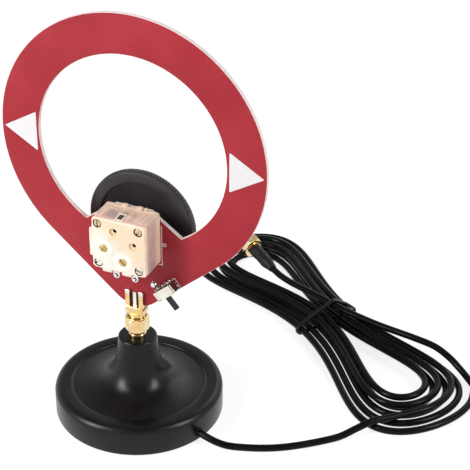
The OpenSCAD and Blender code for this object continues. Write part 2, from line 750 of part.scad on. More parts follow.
module cable_grommet() color([0.08, 0.08, 0.08]) difference() {
    exit_bore(grommet_r, grommet_in, grommet_out);
    exit_bore(cord_r + run, 0, 2 * base_r);
}

// Plug: stepped body with a groove for the ring that holds the nut, insulator and pin
module plug_shell(tail_r, tail_l) difference() {
    union() {
        rod(tail_r, -tail_l, lip_h);
        rod(ferrule_r, -tail_lap, shoulder_h);
        rod(tube_r, shoulder_h - cut, shoulder_h + tube_l);
    }
    pipe(ferrule_r + cut, ferrule_r - groove_depth, lip_h + groove_side,
        lip_h + ring_groove_h - groove_side);
    rod(insul_r + run, insul_low, nut_h);
    rod(pin_r + loose, core_low - cut, 0);
    rod(cord_r + run, -tail_l - cut, core_low);
}
module plug_insulator_form() pipe(insul_r, pin_r + run, insul_low, shoulder_h + insul_rise);
module plug_pin_form() rod(pin_r, core_low + loose, pin_tip);
module catch_ring() difference() {
    pipe(ferrule_r + catch_w, ferrule_r - groove_depth + run, lip_h + loose,
        lip_h + ring_groove_h - loose);
    block([0, 2 * ferrule_r], [-ring_split, ring_split], [0, nut_h]);
}
module nut_form() {
    corner = nut_af / sqrt(3);
    difference() {
        intersection() {
            cylinder(r = corner, h = nut_h, $fn = 6);
            rotate_extrude() polygon([
                [0, 0], [nut_af / 2, 0], [corner + loose, nut_bevel], [corner + loose, nut_h - nut_bevel],
                [nut_af / 2, nut_h], [0, nut_h]
            ]);
        }
        rod(ferrule_r + run, -cut, nut_h);
        rod(ferrule_r + catch_w + loose, lip_h, lip_h + ring_groove_h);
        rod(barrel_r + run, shoulder_h, nut_h + cut);
    }
}
module sma_plug_body() color("goldenrod") on_nut() difference() {
    union() {
        plug_shell(ferrule_r, nut_z - flange_z);
        pipe(flange_r, ferrule_r - run, flange_z - nut_z, flange_z + flange_t - nut_z);
    }
    rod(cord_r + run, flange_z - nut_z - cut, core_low);
}
module sma_plug_insulator() color("white") on_nut() plug_insulator_form();
module sma_plug_pin() color("gold") on_nut() plug_pin_form();
module nut_retaining_ring() color("goldenrod") on_nut() catch_ring();
module coupling_nut() color("gold") on_nut() rotate(nut_turn) nut_form();

// Cable: coax inside the base, lead on the table, tied hank, and tail to the plug
module inner_coax() color("black") tube(inner_path, cord_r, 8, [-sin(exit_angle), cos(exit_angle), 0]);
module cable_lead() color("black") tube(lead_path, cord_r, 8);
module cable_hank() color("black") tube(hank_path, cord_r, 6);
module cable_tail() color("black") tube(tail_path, cord_r, 8);

// Tie: a flat band drawn tight round the outermost strands of both layers and over the tail
function waist_at(t) = hank_waist + waist_step * (hank_turn - t);
function front_strand(t, z) = [hank_shift - waist_at(t) - tie_room, z];
function rear_strand(t, z) = [hank_shift + waist_at(t) + tie_room, z];
strand_z = cord_r + floor_gap + tie_t + tie_gap;
tied_strands = [
    front_strand(0.8, strand_z), rear_strand(1.3, strand_z),
    front_strand(2.8, strand_z + layer_step), rear_strand(2.3, strand_z + layer_step),
    [tie_bend[1], tie_bend[2]]
];
module tie_outline(grow) hull() for (p = tied_strands) {
    translate(p) circle(cord_r + tie_gap + grow, $fn = 24);
}
module cable_tie() color([0.1, 0.1, 0.1]) translate(from_hank(0, 0, 0)) rotate([90, 0, hank_angle + 90])
    translate([0, 0, -tie_w / 2]) linear_extrude(tie_w) difference() {
        tie_outline(tie_t);
        tie_outline(0);
    }

// Plug on the cable's end: boot, body, insulator, pin, ring and nut
module plug_boot() color([0.1, 0.1, 0.1]) on_plug() difference() {
    rotate_extrude() polygon([
        [0, 0], [boot_r - boot_taper[0], 0], [boot_r, boot_taper[1]], [boot_r, boot_l - boot_lip[1]],
        [boot_r - boot_lip[0], boot_l], [0, boot_l]
    ]);
    rod(cord_r + run, -cut, boot_l);
    rod(plug_tail_r + run, plug_nut_at - plug_tail_l - run, boot_l + cut);
}
module plug_body() color("goldenrod") on_plug_nut() plug_shell(plug_tail_r, plug_tail_l);
module plug_insulator() color("white") on_plug_nut() plug_insulator_form();
module plug_pin() color("gold") on_plug_nut() plug_pin_form();
module plug_retaining_ring() color("goldenrod") on_plug_nut() catch_ring();
module plug_nut() color("gold") on_plug_nut() rotate(30) nut_form();

pcb_board();
loop_winding();
capacitor_back_plate();
capacitor_case();
capacitor_front_cover();
capacitor_stator_plates();
capacitor_rotor_plates();
capacitor_shaft();
capacitor_terminals();
capacitor_case_screws();
capacitor_mounting_screws();
trimmer_left();
trimmer_right();
tuning_knob();
knob_screw();
switch_body();
switch_cover();
switch_lever();
switch_contact();
switch_terminals();
solder_joints();
sma_jack_body();
sma_jack_insulator();
sma_jack_pin();
base_shell();
base_magnet();
base_yoke_plate();
base_pad();
sma_plug_body();
sma_plug_insulator();
sma_plug_pin();
nut_retaining_ring();
coupling_nut();
inner_coax();
cable_grommet();
cable_lead();
cable_hank();
cable_tail();
cable_tie();
plug_boot();
plug_body();
plug_insulator();
plug_pin();
plug_retaining_ring();
plug_nut();
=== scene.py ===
"""Looks of the tabletop loop antenna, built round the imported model.

Lengths are in millimetres in the part's frame, and become metres where a mesh is made.
"""

from math import acos, asin, cos, degrees, pi, radians, sin, sqrt, tan

import bmesh
import bpy
from mathutils import Matrix, Vector
from mathutils.geometry import convex_hull_2d, tessellate_polygon


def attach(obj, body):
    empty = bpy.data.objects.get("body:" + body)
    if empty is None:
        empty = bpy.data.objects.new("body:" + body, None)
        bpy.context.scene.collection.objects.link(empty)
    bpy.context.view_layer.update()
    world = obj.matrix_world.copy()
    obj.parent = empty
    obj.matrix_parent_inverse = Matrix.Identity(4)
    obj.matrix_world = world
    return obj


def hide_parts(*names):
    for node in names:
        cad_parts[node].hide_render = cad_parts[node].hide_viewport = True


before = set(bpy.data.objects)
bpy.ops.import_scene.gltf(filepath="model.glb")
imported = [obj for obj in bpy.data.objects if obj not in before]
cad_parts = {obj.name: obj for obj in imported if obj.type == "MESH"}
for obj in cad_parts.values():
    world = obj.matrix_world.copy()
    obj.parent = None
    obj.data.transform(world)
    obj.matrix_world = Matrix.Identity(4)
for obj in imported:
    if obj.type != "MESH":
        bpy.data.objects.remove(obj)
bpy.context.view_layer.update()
scene = bpy.context.scene

MM = 0.001
TURN = 2 * pi

# Sizes and places, as in the part's source
RING_R = 50
HOLE_R = 35.5
BOARD_T = 1.6
HALF_T = BOARD_T / 2
TIP_R = 11.4
TIP_DROP = 51
LEAN = degrees(asin((RING_R - TIP_R) / TIP_DROP))
RING_Z = 107.4
SHAFT_Y = -31.6
SHAFT_Z = RING_Z + SHAFT_Y
PAD_TOP = -22
PAD_HALF = 7
PAD_SLOPE = radians(36)
SWITCH_OUT = 9.3
SWITCH_UP = 9.4
BASE_R = 31
BASE_H = 32
NUT_Z = 34.7
NUT_AF = 8
NUT_H = 5.5
NUT_TURN = 23
CORD_R = 1.35
EXIT_ANGLE = radians(-20)
EXIT_Z = 3.6
HANK_AT = (44.5, 76)
HANK_ANGLE = -35
PLUG_PLACE = (-36, -1, 8.2)
PLUG_TILT = 8
PLUG_NUT_AT = 14.9


# Frames of the board, the capacitor, the switch, the nut, the hank, the tie and the cable's plug
def turn(angle, axis):
    return Matrix.Rotation(radians(angle), 4, axis)


def shift(x, y, z):
    return Matrix.Translation((x, y, z))


# A shape's height laid along X
ALONG = turn(90, "Z") @ turn(90, "X")
BOARD = shift(0, 0, RING_Z) @ turn(90, "X")
CAP = BOARD @ shift(0, SHAFT_Y, HALF_T)
EDGE = BOARD @ shift(0, -TIP_DROP, HALF_T) @ turn(-LEAN, "Z")
SWITCH = EDGE @ shift(SWITCH_OUT, SWITCH_UP, 0) @ turn(90, "Z")
NUT = shift(0, 0, NUT_Z)
HANK = shift(*HANK_AT, 0) @ turn(HANK_ANGLE, "Z")
TIE = HANK @ ALONG
PLUG = HANK @ shift(*PLUG_PLACE) @ turn(180, "Z") @ turn(90 - PLUG_TILT, "Y")
PLUG_NUT = PLUG @ shift(0, 0, PLUG_NUT_AT)


def put(name, data):
    """A new object in the scene."""
    made = bpy.data.objects.new(name, data)
    scene.collection.objects.link(made)
    return made


def way(azimuth, elevation):
    """A direction out from the part: the azimuth is from the front, to the right."""
    level = cos(elevation)
    return Vector((sin(azimuth) * level, -cos(azimuth) * level, sin(elevation)))


# Camera, at the photograph's viewing angle: azimuth, elevation and roll in degrees
CAMERA_ANGLES = (23.225, 31.135, 0.41)
CAMERA_TARGET = (38.253, 0, 83.349)
CAMERA_AWAY = 533.84
CAMERA_LENS = 120.73


def make_camera():
    azimuth, elevation, roll = (radians(a) for a in CAMERA_ANGLES)
    back = way(azimuth, elevation)
    level = Vector((cos(azimuth), sin(azimuth), 0))
    right = level * cos(roll) + back.cross(level) * sin(roll)
    data = bpy.data.cameras.new("camera")
    data.sensor_width = 36
    data.lens = CAMERA_LENS
    data.clip_start = 0.01
    data.clip_end = 50
    camera = put("camera", data)
    place = Matrix((right, back.cross(right), back)).transposed().to_4x4()
    place.translation = Vector(CAMERA_TARGET) * MM + back * CAMERA_AWAY * MM
    camera.matrix_world = place
    scene.camera = camera


make_camera()


# Materials: each is a shader with its nodes
class Nodes:
    """A node tree under construction, with short ways to add nodes to it."""

    def __init__(self, owner, output):
        owner.use_nodes = True
        self.tree = owner.node_tree
        self.tree.nodes.clear()
        self.out = self.node(output).inputs[0]

    def node(self, kind, **values):
        """A new node. A value goes to the input of that name or else to the node's own setting."""
        made = self.tree.nodes.new("ShaderNode" + kind)
        for name, value in values.items():
            socket = name.replace("_", " ")
            if socket in made.inputs:
                made.inputs[socket].default_value = value
            else:
                setattr(made, name, value)
        return made

    def link(self, output, socket):
        self.tree.links.new(output, socket)

    def spread(self, value, low, high, from_low=0.3, from_high=0.7):
        """A value laid over another range."""
        made = self.node("MapRange", From_Min=from_low, From_Max=from_high, To_Min=low, To_Max=high)
        self.link(value, made.inputs["Value"])
        return made.outputs["Result"]

    def sums(self, a, b, operation="ADD"):
        """Two values added, or put through another operation."""
        made = self.node("Math", operation=operation)
        for i, value in enumerate((a, b)):
            if isinstance(value, (int, float)):
                made.inputs[i].default_value = value
            else:
                self.link(value, made.inputs[i])
        return made.outputs[0]

    def times(self, a, b):
        return self.sums(a, b, "MULTIPLY")

    def most(self, a, b):
        return self.sums(a, b, "MAXIMUM")

    def size(self, value):
        """A value without its sign."""
        return self.sums(value, 0, "ABSOLUTE")

    def seen(self):
        """One on rays from the camera, mirrored ones and ones through glass too, and nought on others."""
        rays = self.node("LightPath").outputs
        direct = self.most(rays["Is Camera Ray"], rays["Is Glossy Ray"])
        return self.most(direct, rays["Is Transmission Ray"])

    def blend(self, share, first, second):
        """Two shaders mixed: the share is that of the second."""
        made = self.node("MixShader")
        for output, socket in zip((share, first, second), made.inputs):
            self.link(output, socket)
        return made.outputs[0]


class Finish(Nodes):
    """A material under construction, with a principled shader."""

    def __init__(self, name, **sockets):
        self.material = bpy.data.materials.new(name)
        super().__init__(self.material, "OutputMaterial")
        self.shader = self.node("BsdfPrincipled", **sockets)
        self.link(self.shader.outputs[0], self.out)
        self.place = self.node("TexCoord").outputs["Object"]

    def stretched(self, x, y, z):
        """The place on the piece, with each axis scaled."""
        made = self.node("Mapping", Scale=(x, y, z))
        self.link(self.place, made.inputs["Vector"])
        return made.outputs["Vector"]

    def noise(self, scale, detail=3, place=None, distortion=0):
        made = self.node("TexNoise", Scale=scale, Detail=detail, Distortion=distortion)
        self.link(place or self.place, made.inputs["Vector"])
        return made.outputs["Fac"]

    def waves(self, scale, direction, distortion, detail=2):
        made = self.node("TexWave", Scale=scale, Distortion=distortion, Detail=detail)
        made.bands_direction = direction
        self.link(self.place, made.inputs["Vector"])
        return made.outputs["Fac"]

    def mixed(self, share, first, second):
        """Two colours mixed: the share is that of the second."""
        made = self.node("Mix", data_type="RGBA")
        self.link(share, made.inputs["Factor"])
        for socket, colour in (("A", first), ("B", second)):
            self.link(colour, next(i for i in made.inputs if i.name == socket and i.type == "RGBA"))
        return next(o for o in made.outputs if o.type == "RGBA")

    def axes(self):
        """The place on the piece as three values, in millimetres."""
        scaled = self.node("VectorMath", operation="SCALE", Scale=1 / MM)
        self.link(self.place, scaled.inputs[0])
        apart = self.node("SeparateXYZ")
        self.link(scaled.outputs[0], apart.inputs[0])
        return apart.outputs

    def colours(self, value, stops):
        """Colours along a texture's value: pairs of place and linear colour."""
        made = self.node("ValToRGB")
        bar = made.color_ramp.elements
        while len(bar) < len(stops):
            bar.new(0.5)
        for stop, (at, colour) in zip(bar, stops):
            stop.position = at
            stop.color = (*colour, 1)
        self.link(value, made.inputs["Fac"])
        return made.outputs["Color"]

    def paint(self, colour):
        self.link(colour, self.shader.inputs["Base Color"])
        return self

    def tint(self, value, dark, light, low=0.3, high=0.7):
        return self.paint(self.colours(value, [(low, dark), (high, light)]))

    def rough(self, value, low, high):
        self.link(self.spread(value, low, high), self.shader.inputs["Roughness"])
        return self

    def bump(self, value, depth):
        """Bump from a texture's value; depth is in millimetres."""
        made = self.node("Bump", Strength=1, Distance=depth * MM)
        self.link(value, made.inputs["Height"])
        self.link(made.outputs["Normal"], self.shader.inputs["Normal"])
        return self


def metal(name, dark, light, rough, scratch, bump, drift=(260, 3)):
    """Plated or turned metal, with fine marks drawn out along the axes that have a small scale."""
    made = Finish(name, Metallic=1)
    marks = made.noise(1, 5, made.stretched(*scratch))
    made.tint(made.noise(*drift), dark, light)
    made.rough(marks, *rough)
    return made.bump(marks, bump).material


def moulded(name, dark, light, rough, grain, bump, gloss):
    """Moulded plastic: drifting colour, a fine grain and uneven gloss."""
    made = Finish(name, Specular_IOR_Level=gloss)
    cloud = made.noise(90, 4)
    fine = made.noise(grain, 4)
    made.tint(cloud, dark, light)
    made.rough(made.sums(cloud, made.sums(fine, 0.5, "SUBTRACT")), *rough)
    return made.bump(fine, bump).material


def solder_mask(name, dark, light, rough, weave):
    """Lacquer over woven glass: the cloth's threads show faintly through it."""
    made = Finish(name, Specular_IOR_Level=0.22, Coat_Weight=0.03, Coat_Roughness=0.25)
    cloud = made.noise(55, 4)
    fine = made.noise(2600)
    threads = made.sums(made.waves(520, "X", 1.2), made.waves(520, "Z", 1.2))
    made.tint(made.sums(cloud, made.spread(fine, -0.07, 0.07)), dark, light)
    made.rough(fine, *rough)
    return made.bump(made.sums(threads, made.times(fine, 0.6)), weave).material


def cut_edge():
    """Milled edge of the board: layers of glass cloth in pale resin."""
    made = Finish("board_edge", Roughness=0.62, Specular_IOR_Level=0.3)
    layers = made.waves(1900, "Y", 1.6, 3)
    fine = made.noise(1800, 4)
    shade = made.sums(made.times(layers, 0.35), made.times(fine, 0.6))
    made.tint(shade, (0.76, 0.62, 0.6), (0.92, 0.85, 0.83), 0.2, 0.8)
    return made.bump(fine, 0.03).material


def print_ink():
    made = Finish("print_ink", Specular_IOR_Level=0.25)
    fine = made.noise(2200, 4)
    made.tint(fine, (0.74, 0.71, 0.72), (0.86, 0.84, 0.85))
    made.rough(fine, 0.5, 0.75)
    return made.bump(fine, 0.01).material


def milk(made):
    """The slow drift in milky plastic."""
    return made.noise(170, 4, distortion=0.6)


def milky(name, dark, light, rough, glow=0.25):
    """Milky plastic that light sinks into."""
    sinks = {"Subsurface_Weight": glow, "Subsurface_Radius": (1, 0.62, 0.45), "Subsurface_Scale": 0.8 * MM}
    made = Finish(name, IOR=1.45, Specular_IOR_Level=0.4, **sinks)
    cloud = milk(made)
    made.tint(cloud, dark, light)
    made.rough(made.noise(1500), *rough)
    return made.bump(cloud, 0.06)


CASE_LIGHT = (0.86, 0.63, 0.49)
CASE_DARK = (0.76, 0.53, 0.41)
COVER_EDGE = (0.95, 0.81, 0.74)
PLATE_MAUVE = (0.44, 0.31, 0.3)
COVER_PEACH = (0.96, 0.7, 0.51)
COVER_PALE = (0.985, 0.88, 0.8)


def cap_side():
    """The case's plastic: the stack of plates inside shows through it as mauve streaks."""
    made = milky("cap_plastic", CASE_DARK, CASE_LIGHT, (0.22, 0.42))
    place = made.axes()
    near = made.spread(place["Y"], 0, 1, -11.2, -9.8)
    far = made.spread(place["Y"], 1, 0, -6, -3.4)
    streaks = made.spread(made.noise(330, 2, made.stretched(1, 0.1, 0.12)), 0.1, 1, 0.36, 0.6)
    flank = made.spread(made.size(place["X"]), 0, 0.85, 9.5, 9.9)
    height = made.sums(place["Z"], SHAFT_Z, "SUBTRACT")
    flank = made.times(flank, made.spread(made.size(height), 1, 0.3, 3.5, 8.5))
    shows = made.times(made.times(near, far), made.most(streaks, flank))
    shows = made.sums(shows, made.spread(milk(made), -0.12, 0.12))
    stops = [(0, CASE_LIGHT), (0.25, CASE_DARK), (1, PLATE_MAUVE)]
    return made.paint(made.colours(shows, stops)).material


def cap_cover():
    """The cover's plastic: paler towards the lower left as painted light, with the case's tints at its border
    and sides.
    """
    made = milky("cover_plastic", COVER_PEACH, COVER_PALE, (0.22, 0.4))
    place = made.axes()
    height = made.sums(place["Z"], SHAFT_Z, "SUBTRACT")
    aside = made.size(place["X"])
    cloud = milk(made)
    # Painted light: whiter towards the lower left, where light passes through the plastic
    pale = made.spread(made.sums(place["X"], height), 1, 0, -16, 8)
    pale = made.sums(pale, made.spread(cloud, -0.2, 0.2))
    face = made.colours(pale, [(0.1, COVER_PEACH), (0.9, COVER_PALE)])
    border = made.spread(made.most(aside, made.size(height)), 0, 1, 8.9, 10.3)
    border = made.times(border, made.spread(cloud, 0.6, 1))
    face = made.mixed(border, face, made.colours(cloud, [(0.3, CASE_LIGHT), (0.6, COVER_EDGE)]))
    case = made.colours(cloud, [(0.3, CASE_DARK), (0.7, CASE_LIGHT)])
    sides = made.times(made.spread(place["Y"], 0, 1, -12.5, -11.9), made.spread(aside, 1, 0.25, 9.7, 10))
    return made.paint(made.mixed(sides, face, case)).material


def grey(level):
    return (level, level, level)


# Board and capacitor
MATT = (0.3, 0.5)
RED_MASK = solder_mask("red_mask", (0.34, 0.016, 0.027), (0.4, 0.026, 0.04), (0.36, 0.52), 0.01)
TRACK_MASK = solder_mask("track_mask", (0.5, 0.05, 0.055), (0.58, 0.075, 0.075), (0.3, 0.45), 0.008)
BOARD_EDGE = cut_edge()
INK = print_ink()
CAP_PLASTIC = cap_side()
COVER_PLASTIC = cap_cover()
RECESS_PLASTIC = milky("recess_plastic", (0.86, 0.6, 0.36), (0.93, 0.7, 0.47), MATT).material
# Painted shade: the brown in the deep wells of the upper screws
PAINTED_WELL_SHADE = milky("painted_well_shade", (0.24, 0.12, 0.055), (0.38, 0.2, 0.1), MATT).material
DISC_PLASTIC = milky("disc_plastic", (0.97, 0.89, 0.78), (0.98, 0.93, 0.85), MATT, 0.1).material
WINDOW_BROWN = moulded("window_brown", (0.05, 0.03, 0.022), (0.15, 0.1, 0.065), MATT, 900, 0.02, 0.3)
# Painted shade: the dark walls and floors of holes and wells
PAINTED_HOLE_SHADE = moulded("painted_hole_shade", (0.03, 0.012, 0.004), (0.06, 0.03, 0.012), (0.5, 0.7), 1500, 0.02, 0.2)

# Metals: two colours, roughness, scales of the marks and their depth
BRASS = metal("brass", (0.5, 0.34, 0.12), (0.72, 0.53, 0.22), (0.2, 0.42), (700, 2600, 700), 0.006)
PALE_BRASS = metal("pale_brass", (0.62, 0.48, 0.29), (0.84, 0.7, 0.48), (0.2, 0.4), (700, 2600, 700), 0.006)
GOLD = metal(
    "gold_plate", (0.76, 0.5, 0.19), (0.88, 0.78, 0.53), (0.1, 0.22), (500, 500, 2600), 0.004, (230, 1)
)
STEEL = metal("zinc_steel", (0.5, 0.49, 0.46), (0.68, 0.67, 0.64), (0.22, 0.42), (900, 900, 900), 0.006)
NICKEL = metal("nickel_sheet", (0.76, 0.72, 0.64), (0.9, 0.86, 0.78), (0.18, 0.34), (300, 2400, 2400), 0.004)
PLATE_METAL = metal(
    "plate_metal", (0.55, 0.55, 0.57), (0.72, 0.72, 0.74), (0.25, 0.45), (400, 2000, 400), 0.004
)
TIN = metal("tinned", grey(0.62), (0.8, 0.8, 0.79), (0.16, 0.36), (1200, 1200, 1200), 0.02)

# Plastics and rubber: two colours, roughness, scale of the grain and its depth, and gloss
INSULATOR = moulded("white_insulator", (0.74, 0.73, 0.7), (0.86, 0.85, 0.83), (0.4, 0.6), 1600, 0.01, 0.4)
BASE_BLACK = moulded(
    "base_black", (0.002, 0.002, 0.003), (0.004, 0.004, 0.005), (0.25, 0.34), 1800, 0.0015, 0.25
)
KNOB_BLACK = moulded("knob_black", (0.024, 0.02, 0.022), (0.038, 0.033, 0.035), (0.3, 0.44), 1800, 0.01, 0.34)
SWITCH_BLACK = moulded("switch_black", grey(0.012), grey(0.022), (0.35, 0.5), 2200, 0.01, 0.3)
# Painted shade: the dark brown laid on the board between the jack's legs
PAINTED_LEG_SHADE = moulded("painted_leg_shade", (0.045, 0.017, 0.012), (0.085, 0.032, 0.022), MATT, 1500, 0.02, 0.3)
PHENOLIC = moulded("phenolic", (0.035, 0.01, 0.01), (0.065, 0.019, 0.018), (0.35, 0.55), 1600, 0.01, 0.3)
JACKET = moulded(
    "cable_jacket", (0.003, 0.003, 0.004), (0.006, 0.006, 0.007), (0.15, 0.25), 1500, 0.004, 0.09
)
SHRINK = moulded("heat_shrink", grey(0.006), grey(0.012), (0.36, 0.54), 1100, 0.03, 0.2)
TIE_BLACK = moulded("tie_black", grey(0.006), grey(0.011), (0.26, 0.4), 1400, 0.01, 0.22)
RUBBER = moulded("grommet_rubber", grey(0.008), grey(0.014), (0.5, 0.7), 1200, 0.02, 0.25)
FOAM = moulded("foam_pad", grey(0.018), grey(0.04), (0.8, 0.95), 2600, 0.12, 0.15)
MAGNET = moulded("magnet_ferrite", (0.04, 0.04, 0.043), (0.08, 0.08, 0.085), (0.45, 0.7), 900, 0.03, 0.4)


# Shapes: each returns corners and faces in millimetres
def lathe(profile, steps, closed=False, shape=None):
    """A profile of radii and heights turned about Z. shape(radius, height, angle) may change a radius."""
    points, rows = [], []
    for radius, height in profile:
        count = 1 if radius < 1e-6 else steps
        rows.append([len(points) + i for i in range(count)])
        for i in range(count):
            angle = TURN * i / steps
            r = shape(radius, height, angle) if shape and count > 1 else radius
            points.append((r * cos(angle), r * sin(angle), height))
    pairs = list(zip(rows, rows[1:]))
    if closed:
        pairs.append((rows[-1], rows[0]))
    faces = []
    for low, high in pairs:
        for i in range(steps):
            j = (i + 1) % steps
            if len(low) == 1 and len(high) > 1:
                faces.append((low[0], high[j], high[i]))
            elif len(high) == 1 and len(low) > 1:
                faces.append((low[i], low[j], high[0]))
            elif len(low) > 1:
                faces.append((low[i], low[j], high[j], high[i]))
    return points, faces


def arc(cx, cy, radius, start, end, steps):
    """Points of an arc, both ends among them; angles in degrees."""
    angles = [radians(start + (end - start) * i / steps) for i in range(steps + 1)]
    return [(cx + radius * cos(a), cy + radius * sin(a)) for a in angles]


def circle(cx, cy, radius, steps=48):
    return arc(cx, cy, radius, 0, 360, steps)[:-1]


def rounded(corners, steps=5):
    """A closed outline with its corners rounded: each corner is x, y and radius."""
    points = []
    for i, (x, y, radius) in enumerate(corners):
        here = Vector((x, y))
        before = (Vector(corners[i - 1][:2]) - here).normalized()
        after = (Vector(corners[(i + 1) % len(corners)][:2]) - here).normalized()
        half = acos(max(-1, min(1, before.dot(after)))) / 2
        if radius <= 0 or half > pi / 2 - 1e-3:
            points.append((x, y))
            continue
        reach = radius / tan(half)
        middle = here + (before + after).normalized() * radius / sin(half)
        first, last = here + before * reach - middle, here + after * reach - middle
        whole = first.angle_signed(last)
        for k in range(steps + 1):
            spoke = first.copy()
            spoke.rotate(Matrix.Rotation(-whole * k / steps, 2))
            points.append(tuple(middle + spoke))
    return points


def box_outline(x0, y0, x1, y1, radius):
    return rounded([(x0, y0, radius), (x1, y0, radius), (x1, y1, radius), (x0, y1, radius)])


def area(loop):
    return sum(a[0] * b[1] - b[0] * a[1] for a, b in zip(loop, loop[1:] + loop[:1])) / 2


def facing(loop, outer):
    """The loop anticlockwise if it is an outer one, and clockwise if it is a hole."""
    return list(loop) if (area(loop) > 0) == outer else list(reversed(loop))


def mitre(into, out):
    """The way to the left at a corner, as long as it takes to move both sides by one."""
    across = Vector((-into.y, into.x))
    left = across + Vector((-out.y, out.x))
    left = left.normalized() if left.length > 1e-6 else across
    return left / max(0.5, left.dot(across))


def inset(loop, distance):
    """The loop moved into the material, which lies on its left."""
    moved = []
    for i, point in enumerate(loop):
        here = Vector(point)
        into = (here - Vector(loop[i - 1])).normalized()
        out = (Vector(loop[(i + 1) % len(loop)]) - here).normalized()
        moved.append(tuple(here + mitre(into, out) * distance))
    return moved


def round_rows(low, high, edge, steps=3):
    """Insets and heights up the side of a plate with rounded edges."""
    if edge <= 0:
        return [(0, low), (0, high)]
    quarter = [pi / 2 * k / steps for k in range(steps + 1)]
    foot = [(edge * (1 - sin(a)), low + edge * (1 - cos(a))) for a in quarter]
    return foot + [(i, high + low - z) for i, z in reversed(foot)]


def plate(loops, low, high, edge=0, wells=(), side=0):
    """A plate between two heights. The first loop is its outline and the others are holes through it.
    A well is a loop, the height of its floor, its material slot and the wells in its own floor.
    Returns corners, faces and each face's material slot."""
    points, faces, slots = [], [], []

    def ring(loop, height):
        first = len(points)
        points.extend((x, y, height) for x, y in loop)
        return [first + i for i in range(len(loop))]

    def wall(lower, upper, slot):
        for i in range(len(lower)):
            j = (i + 1) % len(lower)
            faces.append((lower[i], lower[j], upper[j], upper[i]))
            slots.append(slot)

    def fill(rings, slot, upwards):
        order = [i for one in rings for i in one]
        outlines = [[Vector(points[i]) for i in one] for one in rings]
        for triangle in tessellate_polygon(outlines):
            corners = [order[i] for i in triangle]
            faces.append(tuple(corners if upwards else reversed(corners)))
            slots.append(slot)

    def sink(top, loop, floor, slot, deeper=()):
        upper, lower = ring(facing(loop, False), top), ring(facing(loop, False), floor)
        wall(lower, upper, slot)
        fill([lower] + [sink(floor, *well) for well in deeper], slot, True)
        return upper

    rows = round_rows(low, high, edge)
    bottom, top = [], []
    for i, loop in enumerate(loops):
        loop = facing(loop, i == 0)
        rings = [ring(inset(loop, gap) if gap else loop, height) for gap, height in rows]
        for lower, upper in zip(rings, rings[1:]):
            wall(lower, upper, side)
        bottom.append(rings[0])
        top.append(rings[-1])
    fill(bottom, 0, False)
    fill(top + [sink(high, *well) for well in wells], 0, True)
    return points, faces, slots


def tube(path, radius, sides):
    """A closed tube along a path."""
    points, faces = [], []
    path = [Vector(p) for p in path]
    across = None
    for i, here in enumerate(path):
        along = (path[min(i + 1, len(path) - 1)] - path[max(i - 1, 0)]).normalized()
        if across is None:
            across = along.orthogonal().normalized()
        across = (across - along * across.dot(along)).normalized()
        over = along.cross(across)
        for k in range(sides):
            a = TURN * k / sides
            points.append(tuple(here + radius * (cos(a) * across + sin(a) * over)))
    for i in range(len(path) - 1):
        for k in range(sides):
            a, b = i * sides + k, i * sides + (k + 1) % sides
            faces.append((a, b, b + sides, a + sides))
    faces.append(tuple(reversed(range(sides))))
    faces.append(tuple(range(len(points) - sides, len(points))))
    return points, faces


def box(x, y, z, edge):
    return plate([box_outline(x[0], y[0], x[1], y[1], edge)], z[0], z[1], edge)


class Form:
    """The corners and faces of one piece, gathered from shapes."""

    def __init__(self):
        self.points, self.faces, self.slots = [], [], []

    def add(self, shape, place=None, slot=None):
        points, faces = shape[:2]
        own = shape[2] if len(shape) > 2 else [0] * len(faces)
        first = len(self.points)
        self.points += [tuple(place @ Vector(p)) if place else tuple(p) for p in points]
        self.faces += [tuple(first + i for i in face) for face in faces]
        self.slots += [slot] * len(faces) if slot is not None else own
        return self


def mesh_of(name, form):
    mesh = bpy.data.meshes.new(name)
    mesh.from_pydata([tuple(c * MM for c in p) for p in form.points], [], form.faces)
    return mesh


def piece(name, form, materials, body, replaces=(), crease=32):
    """Makes a form into a piece that rides on a body and stands for the named nodes."""
    mesh = mesh_of(name, form)
    for material in materials:
        mesh.materials.append(material)
    mesh.polygons.foreach_set("material_index", form.slots)
    work = bmesh.new()
    work.from_mesh(mesh)
    bmesh.ops.remove_doubles(work, verts=work.verts, dist=1e-7)
    bmesh.ops.recalc_face_normals(work, faces=work.faces)
    work.to_mesh(mesh)
    work.free()
    mesh.shade_smooth()
    mesh.set_sharp_from_angle(angle=radians(crease))
    made = put(name, mesh)
    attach(made, body)
    if replaces:
        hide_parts(*replaces)
    return made


def carve(target, form):
    """Cuts a form out of a piece."""
    cutter = put("cutter", mesh_of("cutter", form))
    cut = target.modifiers.new("cut", "BOOLEAN")
    cut.operation = "DIFFERENCE"
    cut.solver = "EXACT"
    cut.object = cutter
    whole = target.evaluated_get(bpy.context.evaluated_depsgraph_get())
    target.data = bpy.data.meshes.new_from_object(whole)
    target.modifiers.clear()
    bpy.data.objects.remove(cutter)


# Cable: one cord from the grommet through the hank to the plug
HANK_FIRST, HANK_TURN, HANK_END = 2.03, 4.3, 8.12
HANK_PHASE = radians(-18)
HANK_HALF, HALF_STEP = 78.5, 4.45
HANK_WAIST, WAIST_STEP = 0.8, 3.45
HANK_SPREAD, SPREAD_STEP = 44, 5
HANK_SHIFT = 2.2
FLOOR_GAP = 0.05
CROSS_RISE, LAYER_RISE, CLIMB = 1.15, 3.2, 0.5
LOOP_POINTS = 150
CORD_START, CORD_OUT = 28.45, 31.5
LEAD_JOIN, TAIL_JOIN, PLUG_JOIN = 6, 3, 5.9
LEAD_BENDS = [
    (36, -11.8, 2.6), (41, -10.9, 1.5), (47, -9.2, 1.4), (53, -6.9, 1.4), (59, -3.7, 1.4), (65, 0.6, 1.4),
    (71, 5.7, 1.4), (76, 10.2, 1.8), (80.4, 14.8, 3.4), (85, 19.8, 4.7),
]
